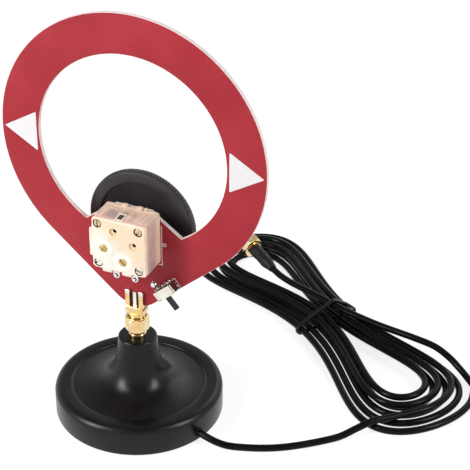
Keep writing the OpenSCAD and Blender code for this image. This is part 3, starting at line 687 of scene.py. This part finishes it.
TAIL_BENDS = [
    (59.5, 25.8, 2.2), (54, 25.7, 3.8), (49, 24.8, 5.8), (43, 22.6, 7.8), (36, 18.8, 8.7), (29, 15.4, 8.8),
    (22, 12, 8.9), (14, 8.8, 9), (7, 6.4, 9), (0, 4.6, 9), (-8, 2.8, 8.9), (-16, 1.1, 8.6), (-23, -0.1, 8.1),
    (-30, -0.8, 7.8),
]


def smooth(x):
    s = max(0, min(1, x))
    return s * s * (3 - 2 * s)


def hank_point(t):
    """The cord's middle after t loops: the loops shrink until the turn, and then grow in the layer below."""
    inward = t if t <= HANK_TURN else 2 * HANK_TURN - t
    a = HANK_PHASE + TURN * t
    c, s = cos(a), sin(a)
    waist = HANK_WAIST + WAIST_STEP * (HANK_TURN - inward)
    u = (HANK_HALF - HALF_STEP * inward) * c
    v = s * (waist + (HANK_SPREAD - SPREAD_STEP * inward) * c**2) + HANK_SHIFT * s**2
    z = CORD_R + FLOOR_GAP + CROSS_RISE * s**6 + LAYER_RISE * smooth((HANK_TURN - t) / CLIMB + 0.5)
    return HANK @ Vector((u, v, z))


def hank_dir(t):
    return (hank_point(t + 0.005) - hank_point(t - 0.005)).normalized()


def eased(points, steps=6):
    """A smooth curve through the points, with steps to each stretch."""
    points = [Vector(p) for p in points]
    ends = [2 * points[0] - points[1], *points, 2 * points[-1] - points[-2]]
    curve = []
    for a, b, c, d in zip(ends, ends[1:], ends[2:], ends[3:]):
        bend = 2 * a - 5 * b + 4 * c - d
        twist = 3 * b - a - 3 * c + d
        for k in range(steps):
            s = k / steps
            curve.append(0.5 * (2 * b + (c - a) * s + bend * s**2 + twist * s**3))
    return curve + [points[-1]]


def out_at(radius, height):
    return Vector((radius * cos(EXIT_ANGLE), radius * sin(EXIT_ANGLE), height))


def cable_path():
    first, last = hank_dir(HANK_FIRST), hank_dir(HANK_END)
    start = hank_point(HANK_FIRST) - 2 * CORD_R * first
    stop = hank_point(HANK_END) + 2 * CORD_R * last
    lead = [out_at(CORD_START, EXIT_Z), out_at(CORD_OUT, EXIT_Z), *LEAD_BENDS]
    lead += [start - LEAD_JOIN * first, start]
    count = round((HANK_END - HANK_FIRST) * LOOP_POINTS)
    hank = [hank_point(HANK_FIRST + (HANK_END - HANK_FIRST) * i / count) for i in range(count + 1)]
    tail = [stop, stop + TAIL_JOIN * last, *[HANK @ Vector(b) for b in TAIL_BENDS]]
    tail += [PLUG.translation, PLUG @ Vector((0, 0, PLUG_JOIN))]
    return eased(lead) + hank + eased(tail)


def make_cable():
    path = cable_path()
    data = bpy.data.curves.new("cable", "CURVE")
    data.dimensions = "3D"
    data.bevel_depth = CORD_R * MM
    data.bevel_resolution = 4
    data.use_fill_caps = True
    spline = data.splines.new("POLY")
    spline.points.add(len(path) - 1)
    for point, place in zip(spline.points, path):
        point.co = (*(place * MM), 1)
    data.materials.append(JACKET)
    cable = put("cable", data)
    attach(cable, "base")
    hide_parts("cable_lead", "cable_hank", "cable_tail")
    return cable


cable = make_cable()


# Board: red lacquer on both faces, pale milled edges
BUSH_HOLE_R = 4.1
MOUNT_AT, MOUNT_HOLE_R = 7.2, 1.2


def board_outline():
    ring = arc(0, 0, RING_R, -LEAN, 180 + LEAN, 200)
    return ring + arc(0, -TIP_DROP, TIP_R, 180 + LEAN, 360 - LEAN, 48)


def hole_outline():
    """The ring's hole, with the pad that reaches up into it between two slopes."""
    off = PAD_HALF * sin(PAD_SLOPE) + PAD_TOP * cos(PAD_SLOPE)
    start = 90 - degrees(PAD_SLOPE + acos(off / HOLE_R))
    over = arc(0, 0, HOLE_R, start, 180 - start, 180)
    return over + [(-PAD_HALF, PAD_TOP), (PAD_HALF, PAD_TOP)]


def make_board():
    loops = [board_outline(), hole_outline(), circle(0, SHAFT_Y, BUSH_HOLE_R)]
    loops += [circle(side * MOUNT_AT, SHAFT_Y, MOUNT_HOLE_R, 32) for side in (-1, 1)]
    form = Form().add(plate(loops, -HALF_T, HALF_T, 0.1, side=1), BOARD)
    piece("board", form, [RED_MASK, BOARD_EDGE], "head", ["pcb_board"], 50)


make_board()


# Print on the board's front: two arrows, a ring and the outlines of the parts
INK_T = 0.03
LINE_W = 0.3
ARROW_TIP, ARROW_BACK, ARROW_HALF, ARROW_ROUND = 49, 36.4, 7.5, 0.25
MARK_AT, MARK_OUT, MARK_IN = (12, -34.2), 0.75, 0.45
PRINT_LINES = [
    [(10.95, -26.7), (10.95, -42.6), (9.7, -42.6)],
    [(-10.95, -26.7), (-10.95, -42.6), (-9.7, -42.6)],
    [(7.75, -54.5), (15.64, -46.85), (18.1, -50.16)],
]


def stroke(points, width):
    """The outline of a printed line."""
    points = [Vector(p) for p in points]
    left, right = [], []
    for i, here in enumerate(points):
        into = (here - points[i - 1]).normalized() if i else (points[1] - here).normalized()
        out = (points[i + 1] - here).normalized() if i < len(points) - 1 else into
        reach = mitre(into, out) * width / 2
        left.append(tuple(here + reach))
        right.append(tuple(here - reach))
    return right + list(reversed(left))


def make_print():
    form = Form()

    def ink(*loops):
        form.add(plate(loops, HALF_T, HALF_T + INK_T), BOARD)

    for side in (-1, 1):
        corners = [(ARROW_TIP, 0), (ARROW_BACK, ARROW_HALF), (ARROW_BACK, -ARROW_HALF)]
        ink(rounded([(side * x, y, ARROW_ROUND) for x, y in corners]))
    for line in PRINT_LINES:
        ink(stroke(line, LINE_W))
    ink(circle(*MARK_AT, MARK_OUT, 32), circle(*MARK_AT, MARK_IN, 32))
    piece("board_print", form, [INK], "head")


make_print()


# Capacitor: back plate with bush, hollow case and front cover of milky plastic
CAP_HALF, BULGE_OUT, RIGHT_OUT = 10.1, 1.1, 0.4
TABS = [(-6.6, -2.6), (1, 5)]
CASE_WALL, SEAM = 1, 0.03
CASE_Z, COVER_Z, CAP_FRONT = 1.6, 9.6, 11.8
SCREW_AT, TRIMMER_AT, TRIMMER_ANGLE = 7.8, 5.9, 16
WELL_R, UPPER_WELL, LOWER_WELL = 1.66, 1.35, 1.1
TRIMMER_WELL, TRIMMER_DEPTH = 1.45, 0.9
SCREW_WELLS = [
    (x, y, UPPER_WELL if y > 0 else LOWER_WELL, y > 0)
    for x in (-SCREW_AT, SCREW_AT)
    for y in (-SCREW_AT, SCREW_AT)
]


def cap_outline(corner=1.1, tabs=()):
    """The capacitor's outline: a square with a shallow bulge at its left and tabs under it."""
    w = CAP_HALF
    right, out = w + RIGHT_OUT, w + BULGE_OUT
    outer, inner = 0.7, 0.15
    upper = [(right, -w, corner), (right, w, corner), (-w, w, corner)]
    bulge = [(-w, 6, 0.3), (-out, 5, outer), (-out, -5.8, outer), (-w, -5.8, inner)]
    below = []
    for x0, x1 in tabs:
        below += [(x0, -w, inner), (x0, -out, outer), (x1, -out, outer), (x1, -w, inner)]
    return rounded([*upper, *bulge, (-w, -w, corner), *below])


def trimmer_place(k):
    a = radians(TRIMMER_ANGLE + 90 * k)
    return TRIMMER_AT * cos(a), TRIMMER_AT * sin(a)


def make_back():
    """The back plate, with its bush and with nubs along its upper edge."""
    bore, bush, end = 3.05, 3.9, -2.6
    form = Form().add(plate([cap_outline(), circle(0, 0, bore)], 0.02, CASE_Z, 0.2), CAP)
    profile = [(bore, end), (bush - 0.2, end), (bush, end + 0.2), (bush, 0.05), (bore, 0.05)]
    form.add(lathe(profile, 64, True), CAP)
    for x, w in ((-2.4, 1), (3.2, 1), (5.6, 0.4)):
        nub = box_outline(x - w, CAP_HALF - 0.3, x + w, CAP_HALF + 0.9, 0.3)
        form.add(plate([nub], 0.05, CASE_Z - 0.05, 0.15), CAP)
    piece("capacitor_back", form, [CAP_PLASTIC], "head", ["capacitor_back_plate"])


def make_case():
    inner = CAP_HALF - CASE_WALL
    cavity = box_outline(-inner, -inner, inner, inner, 0.5)
    form = Form().add(plate([cap_outline(), cavity], CASE_Z + SEAM, COVER_Z - SEAM, 0.18), CAP)
    return piece("capacitor_box", form, [CAP_PLASTIC], "head", ["capacitor_case"])


def make_cover():
    """The front cover: wells for the screws and trimmers, and two amber recesses with a hole each."""
    # The dark and brown slots are painted shade in the screws' wells and the amber recesses' holes
    plain, amber, dark, brown = range(4)
    plastics = [COVER_PLASTIC, RECESS_PLASTIC, PAINTED_HOLE_SHADE, PAINTED_WELL_SHADE]
    wells = []
    for x, y, depth, upper in SCREW_WELLS:
        wells.append((circle(x, y, WELL_R, 40), CAP_FRONT - depth, brown if upper else dark))
    for k in (2, 3):
        wells.append((circle(*trimmer_place(k), TRIMMER_WELL, 40), CAP_FRONT - TRIMMER_DEPTH, plain))
    for k in (0, 1):
        x, y = trimmer_place(k)
        hole = (circle(x + 0.45, y + 0.5, 0.75, 24), CAP_FRONT - 2, dark)
        wells.append((circle(x, y, 1.5, 40), CAP_FRONT - 0.45, amber, [hole]))
    form = Form().add(plate([cap_outline(1.4, TABS)], COVER_Z, CAP_FRONT, 0.6, wells), CAP)
    dot = circle(0.2, -0.5, 0.36, 24)
    form.add(plate([dot], CAP_FRONT - 0.02, CAP_FRONT + 0.03), CAP, amber)
    return piece("capacitor_cover", form, plastics, "head", ["capacitor_front_cover"])


def make_window(cut):
    """A window in the top of the pieces given, with a brown floor and a pale frame."""
    left, right, low, high, lip = -1.5, 0.7, 6.4, 10, 0.05
    hole = Form().add(box((left, right), (CAP_HALF - 2.2, CAP_HALF + 1), (low, high), 0), CAP)
    for one in cut:
        carve(one, hole)
    across, deep = (left + lip, right - lip), (low + lip, high - lip)
    form = Form().add(box(across, (CAP_HALF - 0.7, CAP_HALF - 0.2), deep, 0.05), CAP)
    rims = ((0.3, 0.3), (-0.1, 0.1))
    rim = [box_outline(left - w, -high - w, right + w, -low + w, r) for w, r in rims]
    form.add(plate(rim, -0.1, 0.12, 0.05), CAP @ shift(0, CAP_HALF, 0) @ turn(-90, "X"), 1)
    piece("capacitor_window", form, [WINDOW_BROWN, DISC_PLASTIC], "head")


make_back()
case_piece = make_case()
cover_piece = make_cover()
make_window([cover_piece, case_piece])


def slotted(radius, low, high, slot_w, slot_d, edge=0.12):
    """A screw head with a slot: a disc with two half moons on it."""
    form = Form().add(plate([circle(0, 0, radius)], low, high - slot_d))
    half = slot_w / 2
    cut = degrees(asin(half / radius))
    for side in (0, 180):
        moon = arc(0, 0, radius, side + cut, side + 180 - cut, 24)
        form.add(plate([moon], high - slot_d - 0.02, high, edge))
    return form.points, form.faces, form.slots


def make_screws():
    form = Form()
    for i, (x, y, depth, upper) in enumerate(SCREW_WELLS):
        floor = CAP_FRONT - depth
        place = CAP @ shift(x, y, 0) @ turn(25 + 70 * i, "Z")
        head, rise = (1.3, 1.25) if upper else (1.45, 0.95)
        form.add(slotted(head, floor + 0.02, floor + rise, 0.5, 0.6, 0.2), place, 0 if upper else 1)
        shank = [(0, 0.42), (0.8, 0.42), (0.8, floor + 0.03), (0, floor + 0.03)]
        form.add(lathe(shank, 24), place, 0)
    piece("capacitor_screws", form, [PALE_BRASS, NICKEL], "head", ["capacitor_case_screws"])


def make_trimmers():
    """Two brass screws, each in a pale disc on the cover."""
    for k, name in ((2, "trimmer_left"), (3, "trimmer_right")):
        x, y = trimmer_place(k)
        place = CAP @ shift(x, y, 0) @ turn(TRIMMER_ANGLE + 90 * k + 30, "Z")
        low, high = CAP_FRONT - TRIMMER_DEPTH + 0.02, CAP_FRONT + 0.3
        screw = Form().add(slotted(1.4, low, high, 0.42, 0.6), place)
        piece(name + "_screw", screw, [BRASS], name, [name])
        disc = [circle(x, y, 3.7, 64), circle(x, y, 1.5, 40)]
        form = Form().add(plate(disc, CAP_FRONT - 0.02, CAP_FRONT + 0.08, 0.05), CAP)
        piece(name + "_disc", form, [DISC_PLASTIC], "head")


make_screws()
make_trimmers()


# Terminals: a lug under the capacitor with painted shade in its eyelet, and a tinned wire from it to the
# board
TERM_AT, FOOT_Y = 3.6, -15.32


def make_terminals():
    form = Form()
    half, top, eye, eye_r, low, thick = 1.25, -9.9, -14.9, 0.75, 6.6, 0.35
    for x in (-TERM_AT, TERM_AT):
        lug = [(x + half, top), (x - half, top)] + arc(x, eye, half, 180, 360, 20)
        # Painted shade: the eyelet is a shallow well with a dark floor
        eyelet_painted_shade = (circle(x, eye, eye_r, 24), low + 0.12, 1)
        form.add(plate([lug], low, low + thick, 0.08, [eyelet_painted_shade]), CAP)
        wire = [(x, eye + 0.2, low + 0.9), (x, eye, low + 0.5), (x, eye - 0.2, low - 0.2)]
        wire += [(x, eye - 0.3, low - 2), (x, FOOT_Y + 0.05, 2.2), (x, FOOT_Y, 1.2), (x, FOOT_Y, 0.1)]
        form.add(tube(eased(wire, 4), 0.3, 10), CAP)
    piece("terminal_lugs", form, [TIN, PAINTED_HOLE_SHADE], "head", ["capacitor_terminals"])


make_terminals()


# Knob: a thumbwheel with a knurled rim, dished towards the board
KNOB_R, KNOB_FRONT, KNOB_BACK = 20.4, -5.8, -9.2
KNURLS, KNURL_DEPTH = 112, 0.45


def knurl(radius, height, angle):
    if radius < KNOB_R - 0.3:
        return radius
    wave = 0.5 + 0.5 * cos(KNURLS * angle)
    return radius - KNURL_DEPTH * (1 - wave**0.6)


def make_knob():
    r, front, back = KNOB_R, KNOB_FRONT, KNOB_BACK
    dish, floor = 16, front - 0.8
    hub, end, bore = 5, -3, 3.05
    head, seat, web, hole = 2.6, back + 1.1, back + 2.1, 1.4
    profile = [(head, seat), (head, back + 0.1), (head + 0.1, back), (7, back), (7.3, back + 0.3)]
    edge = [(0.9, 0), (0.5, 0.12), (0.12, 0.5), (0, 0.8)]
    profile += [(17.2, back + 0.3), (17.5, back), *[(r - i, back + z) for i, z in edge]]
    profile += [(r - i, front - z) for i, z in reversed(edge)]
    profile += [(dish + 0.25, front), (dish + 0.06, front - 0.08), (dish, front - 0.25), (dish, front - 0.7)]
    profile += [(dish - 0.2, floor), (hub + 0.4, floor), (hub, front - 0.4), (hub, end - 0.2)]
    profile += [(hub - 0.2, end), (bore, end), (bore, web), (hole, web), (hole, seat)]
    form = Form().add(lathe(profile, KNURLS * 6, True, knurl), CAP)
    piece("knob", form, [KNOB_BLACK], "tuning_rotor", ["tuning_knob"], 40)


make_knob()


# Switch: bent sheet cover, and the lever on its slider
SWITCH_L, SWITCH_W, SWITCH_H = 8.6, 3.6, 3.5
SHEET_T, LEVER_L = 0.3, 5.8


def make_shell():
    """The cover is a folded sheet with its open side towards the board's middle."""
    half, w, slot = SWITCH_L / 2, SWITCH_W / 2, 2.15
    within, under = -w + SHEET_T, SWITCH_H - SHEET_T
    corners = [(-w, 0, 0.45), (w, 0, 0), (w, SHEET_T, 0), (within, SHEET_T, 0.15)]
    corners += [(within, under, 0.15), (w, under, 0), (w, SWITCH_H, 0), (-w, SWITCH_H, 0.45)]
    form = Form()
    for low, high in ((-half, -slot), (slot, half - 0.8), (half - 0.45, half)):
        form.add(plate([rounded(corners)], low, high, 0.06), SWITCH @ ALONG)
    top = [(-w + 0.05, under), (w, under), (w, SWITCH_H), (-w + 0.05, SWITCH_H)]
    strips = [top, [(x, SWITCH_H - z) for x, z in top]]
    for z0, z1 in ((0.1, 1), (2.5, SWITCH_H - 0.1)):
        strips.append([(-w, z0), (within, z0), (within, z1), (-w, z1)])
    for strip in strips:
        form.add(plate([strip], -slot - 0.02, slot + 0.02), SWITCH @ ALONG)
    piece("switch_shell", form, [NICKEL], "head", ["switch_cover"])


def make_lever():
    w = SWITCH_W / 2
    place = SWITCH @ shift(-1, 0, SWITCH_H / 2) @ turn(-90, "X")
    lever = box_outline(-0.95, -0.7, 0.95, 0.7, 0.25)
    slider = box_outline(-1.1, -0.9, 1.1, 0.9, 0.1)
    form = Form().add(plate([lever], -w - LEVER_L, -w + 0.9, 0.2), place)
    form.add(plate([slider], -w + 0.36, -w + 1.55, 0.05), place)
    piece("switch_handle", form, [SWITCH_BLACK], "switch_slider", ["switch_lever"])


make_shell()
make_lever()


# Solder: a flowed cone at each foot, and one large dome
CONE = [(1, 0), (0.82, 0.22), (0.62, 0.5), (0.42, 0.85), (0.25, 1), (0, 1)]
DOME_AT, DOME_R, DOME_H, DOME_FOOT = (7.6, -51.8), 1.35, 1.15, 1.45
FRONT_H, BACK_H = 0.5, 0.8


def cone(radius, height):
    return lathe([(radius * r, height * z) for r, z in CONE], 32)


def make_solder():
    form = Form()
    feet = [(CAP @ shift(x, FOOT_Y, 0), 1.2) for x in (-TERM_AT, TERM_AT)]
    feet += [(SWITCH @ shift(x, 2.5, 0), 0.34) for x in (-2.5, 0, 2.5)]
    for place, radius in feet:
        form.add(cone(radius, FRONT_H), place)
        form.add(cone(radius, BACK_H), place @ shift(0, 0, -BOARD_T) @ turn(180, "X"))
    angles = [radians(a) for a in range(0, 90, 10)]
    dome = [(DOME_R * cos(a), DOME_H * sin(a)) for a in angles]
    form.add(lathe([(DOME_FOOT, 0), *dome, (0, DOME_H)], 40), BOARD @ shift(*DOME_AT, HALF_T))
    piece("solder", form, [TIN], "head", ["solder_joints"])


make_solder()


# Connectors: hexagon nuts, threads, and the jack with its legs
JACK_LOW, JACK_HIGH, JACK_TOP = 6.9, 10.2, 17
LEG_X, LEG_Y = 2.65, 1.45


def hexagon(radius, height, angle):
    """A radius held within the nut's flats and blunt corners."""
    across = (angle % (TURN / 6)) - TURN / 12
    return min(radius, NUT_AF / 2 / cos(across), NUT_AF / sqrt(3) - 0.1)


def nut_profile():
    corner = NUT_AF / sqrt(3) + 0.05
    rise = [(NUT_AF / 2 - 0.15 + 0.8 * k / 6, 0.6 * (k / 6) ** 1.5) for k in range(7)]
    side = [(corner, 0.62), (corner, NUT_H - 0.62)]
    top = [(r, NUT_H - z) for r, z in reversed(rise)]
    bore = [(3.3, NUT_H), (3.15, NUT_H - 0.2), (3.15, 1.5), (3.4, 1.3), (3.4, 0.5), (2.9, 0.5), (2.9, 0)]
    return rise + side + top + bore


def make_nut(node, place):
    form = Form().add(lathe(nut_profile(), 192, True, hexagon), place)
    return piece(node + "_hex", form, [GOLD], node, [node], 20)


def thread(radius, low, high, pitch=0.5, depth=0.28):
    """A profile with the ridges of a thread."""
    count = max(2, round((high - low) / pitch))
    step = (high - low) / count
    rows = []
    for k in range(count):
        z = low + (high - low) * k / count
        rows += [(radius - depth, z), (radius, z + step * 0.45), (radius, z + step * 0.6)]
    return rows + [(radius - depth, high)]


def make_jack():
    """The jack's block, barrel and four legs with tinned tips, and painted shade on the board between the
    legs.
    """
    bore, start, end, barrel = 2.05, 1.7, 5.4, 3.05
    form = Form().add(box((-3.5, 3.5), (-2.5, 2.5), (JACK_LOW, JACK_HIGH), 0.3), NUT)
    profile = [(bore, start), *thread(3.1, start, end), (3, end), (barrel, end + 0.1)]
    profile += [(barrel, JACK_LOW + 0.05), (bore, JACK_LOW + 0.05)]
    form.add(lathe(profile, 64, True), NUT)
    leg = (0.85, 0.65, JACK_HIGH - 0.3, JACK_TOP - 0.1, 0.15)
    tip = (0.89, 0.69, JACK_TOP - 1.9, JACK_TOP, 0.2)
    for x in (-LEG_X, LEG_X):
        for y in (-LEG_Y, LEG_Y):
            for slot, (w, d, low, high, edge) in enumerate((leg, tip)):
                form.add(box((x - w, x + w), (y - d, y + d), (low, high), edge), NUT, slot)
    piece("jack", form, [GOLD, NICKEL], "head", ["sma_jack_body"])
    # Painted shade: a dark brown patch where the legs shade the board
    painted_shade_patch = plate([box_outline(-1.75, -61.9, 1.75, -57.4, 0.3)], HALF_T - 0.02, HALF_T + 0.03)
    piece("jack_painted_shade", Form().add(painted_shade_patch, BOARD), [PAINTED_LEG_SHADE], "head")


make_jack()
make_nut("coupling_nut", NUT @ turn(NUT_TURN, "Z"))
end_nut_piece = make_nut("plug_nut", PLUG_NUT @ turn(30, "Z"))


# Base: a bell with a rounded rim and a slim neck, and the gilt bead on it
def flare(r_low, z_low, r_high, z_high, bend, steps=40):
    """A hyperbola between two points of a profile, softer with a larger bend."""
    near, far = 1 / bend, 1 / (r_low - r_high + bend)
    rows = []
    for i in range(steps + 1):
        q = far + (near - far) * (i / steps) ** 1.6
        rows.append((r_high - bend + 1 / q, z_low + (z_high - z_low) * (q - far) / (near - far)))
    return rows


def make_base():
    rim, step, neck = 11.6, 11, 7.1
    bend, edge = 2.6, 0.8
    outer = [(28.65, 0.3), (30.1, 0.3), (30.55, 0.42), (30.88, 0.75), (31, 1.2)]
    outer += arc(BASE_R - bend, rim - bend, bend, 0, 90, 12)
    outer += [(25.2, rim), (25, rim - 0.04), (24.84, rim - 0.14), (24.7, rim - 0.3), (24.5, rim - 0.48)]
    outer += flare(24.1, step, neck, BASE_H - 1.2, 1.8)
    outer += arc(neck - edge, BASE_H - edge, edge, 0, 90, 12)
    bore, throat, roof, wall, seat = 2.9, 4.55, 8.7, 27.75, 2
    inner = [(bore + 0.1, BASE_H), (bore, BASE_H - 0.1), (bore, 26), (throat, 26)]
    inner += list(reversed(flare(22.2, roof, throat, 24, 5, 20)))
    inner += [(wall, roof), (wall, seat), (28.65, seat)]
    form = Form().add(lathe(outer + inner, 192, True))
    piece("base_bell", form, [BASE_BLACK], "base", ["base_shell"], 40)


def make_collar():
    low, high = BASE_H + 0.04, NUT_Z - 1.3
    bore, edge, out = 2.85, 3.1, 3.25
    bead = [(bore, low), (edge, low), (out, low + 0.2), (out, high - 0.3), (edge, high - 0.1), (bore, high)]
    piece("plug_collar", Form().add(lathe(bead, 96, True)), [GOLD], "base")


make_base()
make_collar()


# Tie and boot on the cable: the strands that the tie bears on, across the hank and up
STRANDS = [(-10.675, 2.55), (13.35, 2.55), (-3.775, 5.75), (9.9, 5.75), (4.6, 9)]
TIE_T, TIE_W, TIE_GAP = 0.9, 1.6, 0.15


def make_tie():
    """A band drawn tight round the outermost strands at the waist and over the tail."""

    def outline(grow):
        points = [p for x, y in STRANDS for p in circle(x, y, CORD_R + TIE_GAP + grow, 40)]
        return [points[i] for i in convex_hull_2d(points)]

    form = Form().add(plate([outline(TIE_T), outline(0)], -TIE_W / 2, TIE_W / 2, 0.35), TIE)
    return piece("tie", form, [TIE_BLACK], "base", ["cable_tie"], 60)


def make_boot():
    """Heat-shrink over the crimp: it narrows to the cable and shows the steps under it."""
    length, cord_end = 14.5, 5.85
    outer = [(1.45, 0), (1.62, 0.05), (1.75, 0.6), (1.95, 1.8), (2.3, 3.2), (2.55, 4.4), (2.62, 5.6)]
    outer += [(2.6, 7.5), (2.52, 9), (2.56, 10.4), (2.68, 11.6), (2.7, 13.4), (2.62, 14.3), (2.5, length)]
    inner = [(2.25, length), (2.25, cord_end), (1.42, cord_end)]

    def uneven(radius, height, angle):
        wave = sin(3 * angle + height) + 0.6 * sin(5 * angle - 1.7 * height)
        return radius + (0.035 * wave if radius > 1.6 else 0)

    form = Form().add(lathe(outer + inner, 48, True, uneven), PLUG)
    return piece("boot", form, [SHRINK], "base", ["plug_boot"], 50)


tie_piece = make_tie()
boot_piece = make_boot()


# Finishes of the nodes that show as they are
NODE_FINISH = [
    (TRACK_MASK, ["loop_winding"]),
    (PLATE_METAL, ["capacitor_stator_plates", "capacitor_rotor_plates"]),
    (BRASS, ["capacitor_shaft", "switch_contact"]),
    (STEEL, ["capacitor_mounting_screws", "knob_screw", "base_yoke_plate"]),
    (STEEL, ["nut_retaining_ring", "plug_retaining_ring"]),
    (PHENOLIC, ["switch_body"]),
    (TIN, ["switch_terminals"]),
    (INSULATOR, ["sma_jack_insulator", "sma_plug_insulator", "plug_insulator"]),
    (NICKEL, ["sma_jack_pin"]),
    (GOLD, ["sma_plug_body", "sma_plug_pin", "plug_body", "plug_pin"]),
    (MAGNET, ["base_magnet"]),
    (FOAM, ["base_pad"]),
    (JACKET, ["inner_coax"]),
    (RUBBER, ["cable_grommet"]),
]
for material, names in NODE_FINISH:
    for name in names:
        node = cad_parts[name]
        node.data.materials.clear()
        node.data.materials.append(material)


# Stage: a pale floor, a white surround and soft lamps
FLOOR_HALF = 4
WHITE = (1, 1, 1, 1)
LAMP_AIM = (0.02, 0.02, 0.05)


def make_floor():
    """The floor takes shadows near the part, and glows white further out."""
    made = Finish("floor", Roughness=0.9, Specular_IOR_Level=0)
    made.tint(made.noise(14, 2), grey(0.8), grey(0.82))
    glow = made.node("Emission", Strength=1.25)
    away = made.node("VectorMath", operation="LENGTH")
    made.link(made.place, away.inputs[0])
    share = made.times(made.seen(), made.spread(away.outputs["Value"], 0.66, 1, 0.3, 0.9))
    made.link(made.blend(share, made.shader.outputs[0], glow.outputs[0]), made.out)
    mesh = bpy.data.meshes.new("floor")
    corners = [(x * FLOOR_HALF, y * FLOOR_HALF, 0) for x, y in ((-1, -1), (1, -1), (1, 1), (-1, 1))]
    mesh.from_pydata(corners, [], [(0, 1, 2, 3)])
    mesh.materials.append(made.material)
    floor = put("floor", mesh)


def make_world():
    """White to the camera, a low fill for the part, and a ceiling that is darker in mirrors."""
    world = bpy.data.worlds.new("surround")
    made = Nodes(world, "OutputWorld")
    fill = made.node("Background", Color=WHITE, Strength=0.14)
    white = made.node("Background", Color=WHITE)
    height = made.node("SeparateXYZ")
    made.link(made.node("TexCoord").outputs["Generated"], height.inputs[0])
    ceiling = made.spread(height.outputs["Z"], 1, 0.3, 0.2, 0.75)
    camera = made.node("LightPath").outputs["Is Camera Ray"]
    made.link(made.most(ceiling, camera), white.inputs["Strength"])
    made.link(made.blend(made.seen(), fill.outputs[0], white.outputs[0]), made.out)
    scene.world = world


def lamp(name, azimuth, elevation, distance, size, power):
    """A rectangular lamp round the part: its azimuth is from the front, to the right."""
    out = way(radians(azimuth), radians(elevation))
    data = bpy.data.lights.new(name, "AREA")
    data.shape = "RECTANGLE"
    data.size, data.size_y = size
    data.energy = power
    made = put(name, data)
    made.location = Vector(LAMP_AIM) + distance * out
    made.rotation_euler = (-out).to_track_quat("-Z", "Y").to_euler()


make_floor()
make_world()
lamp("lamp_left", -41, 31, 1.15, (0.48, 0.95), 10.2)
lamp("lamp_left_core", -41, 31, 1.13, (0.19, 0.42), 3)
lamp("lamp_right", 87, 34, 1.2, (0.38, 0.9), 6.5)
lamp("lamp_right_core", 87, 34, 1.18, (0.17, 0.42), 2)
lamp("lamp_back", 168, 38, 1.4, (0.9, 0.7), 3.2)

scene.view_settings.view_transform = "Standard"
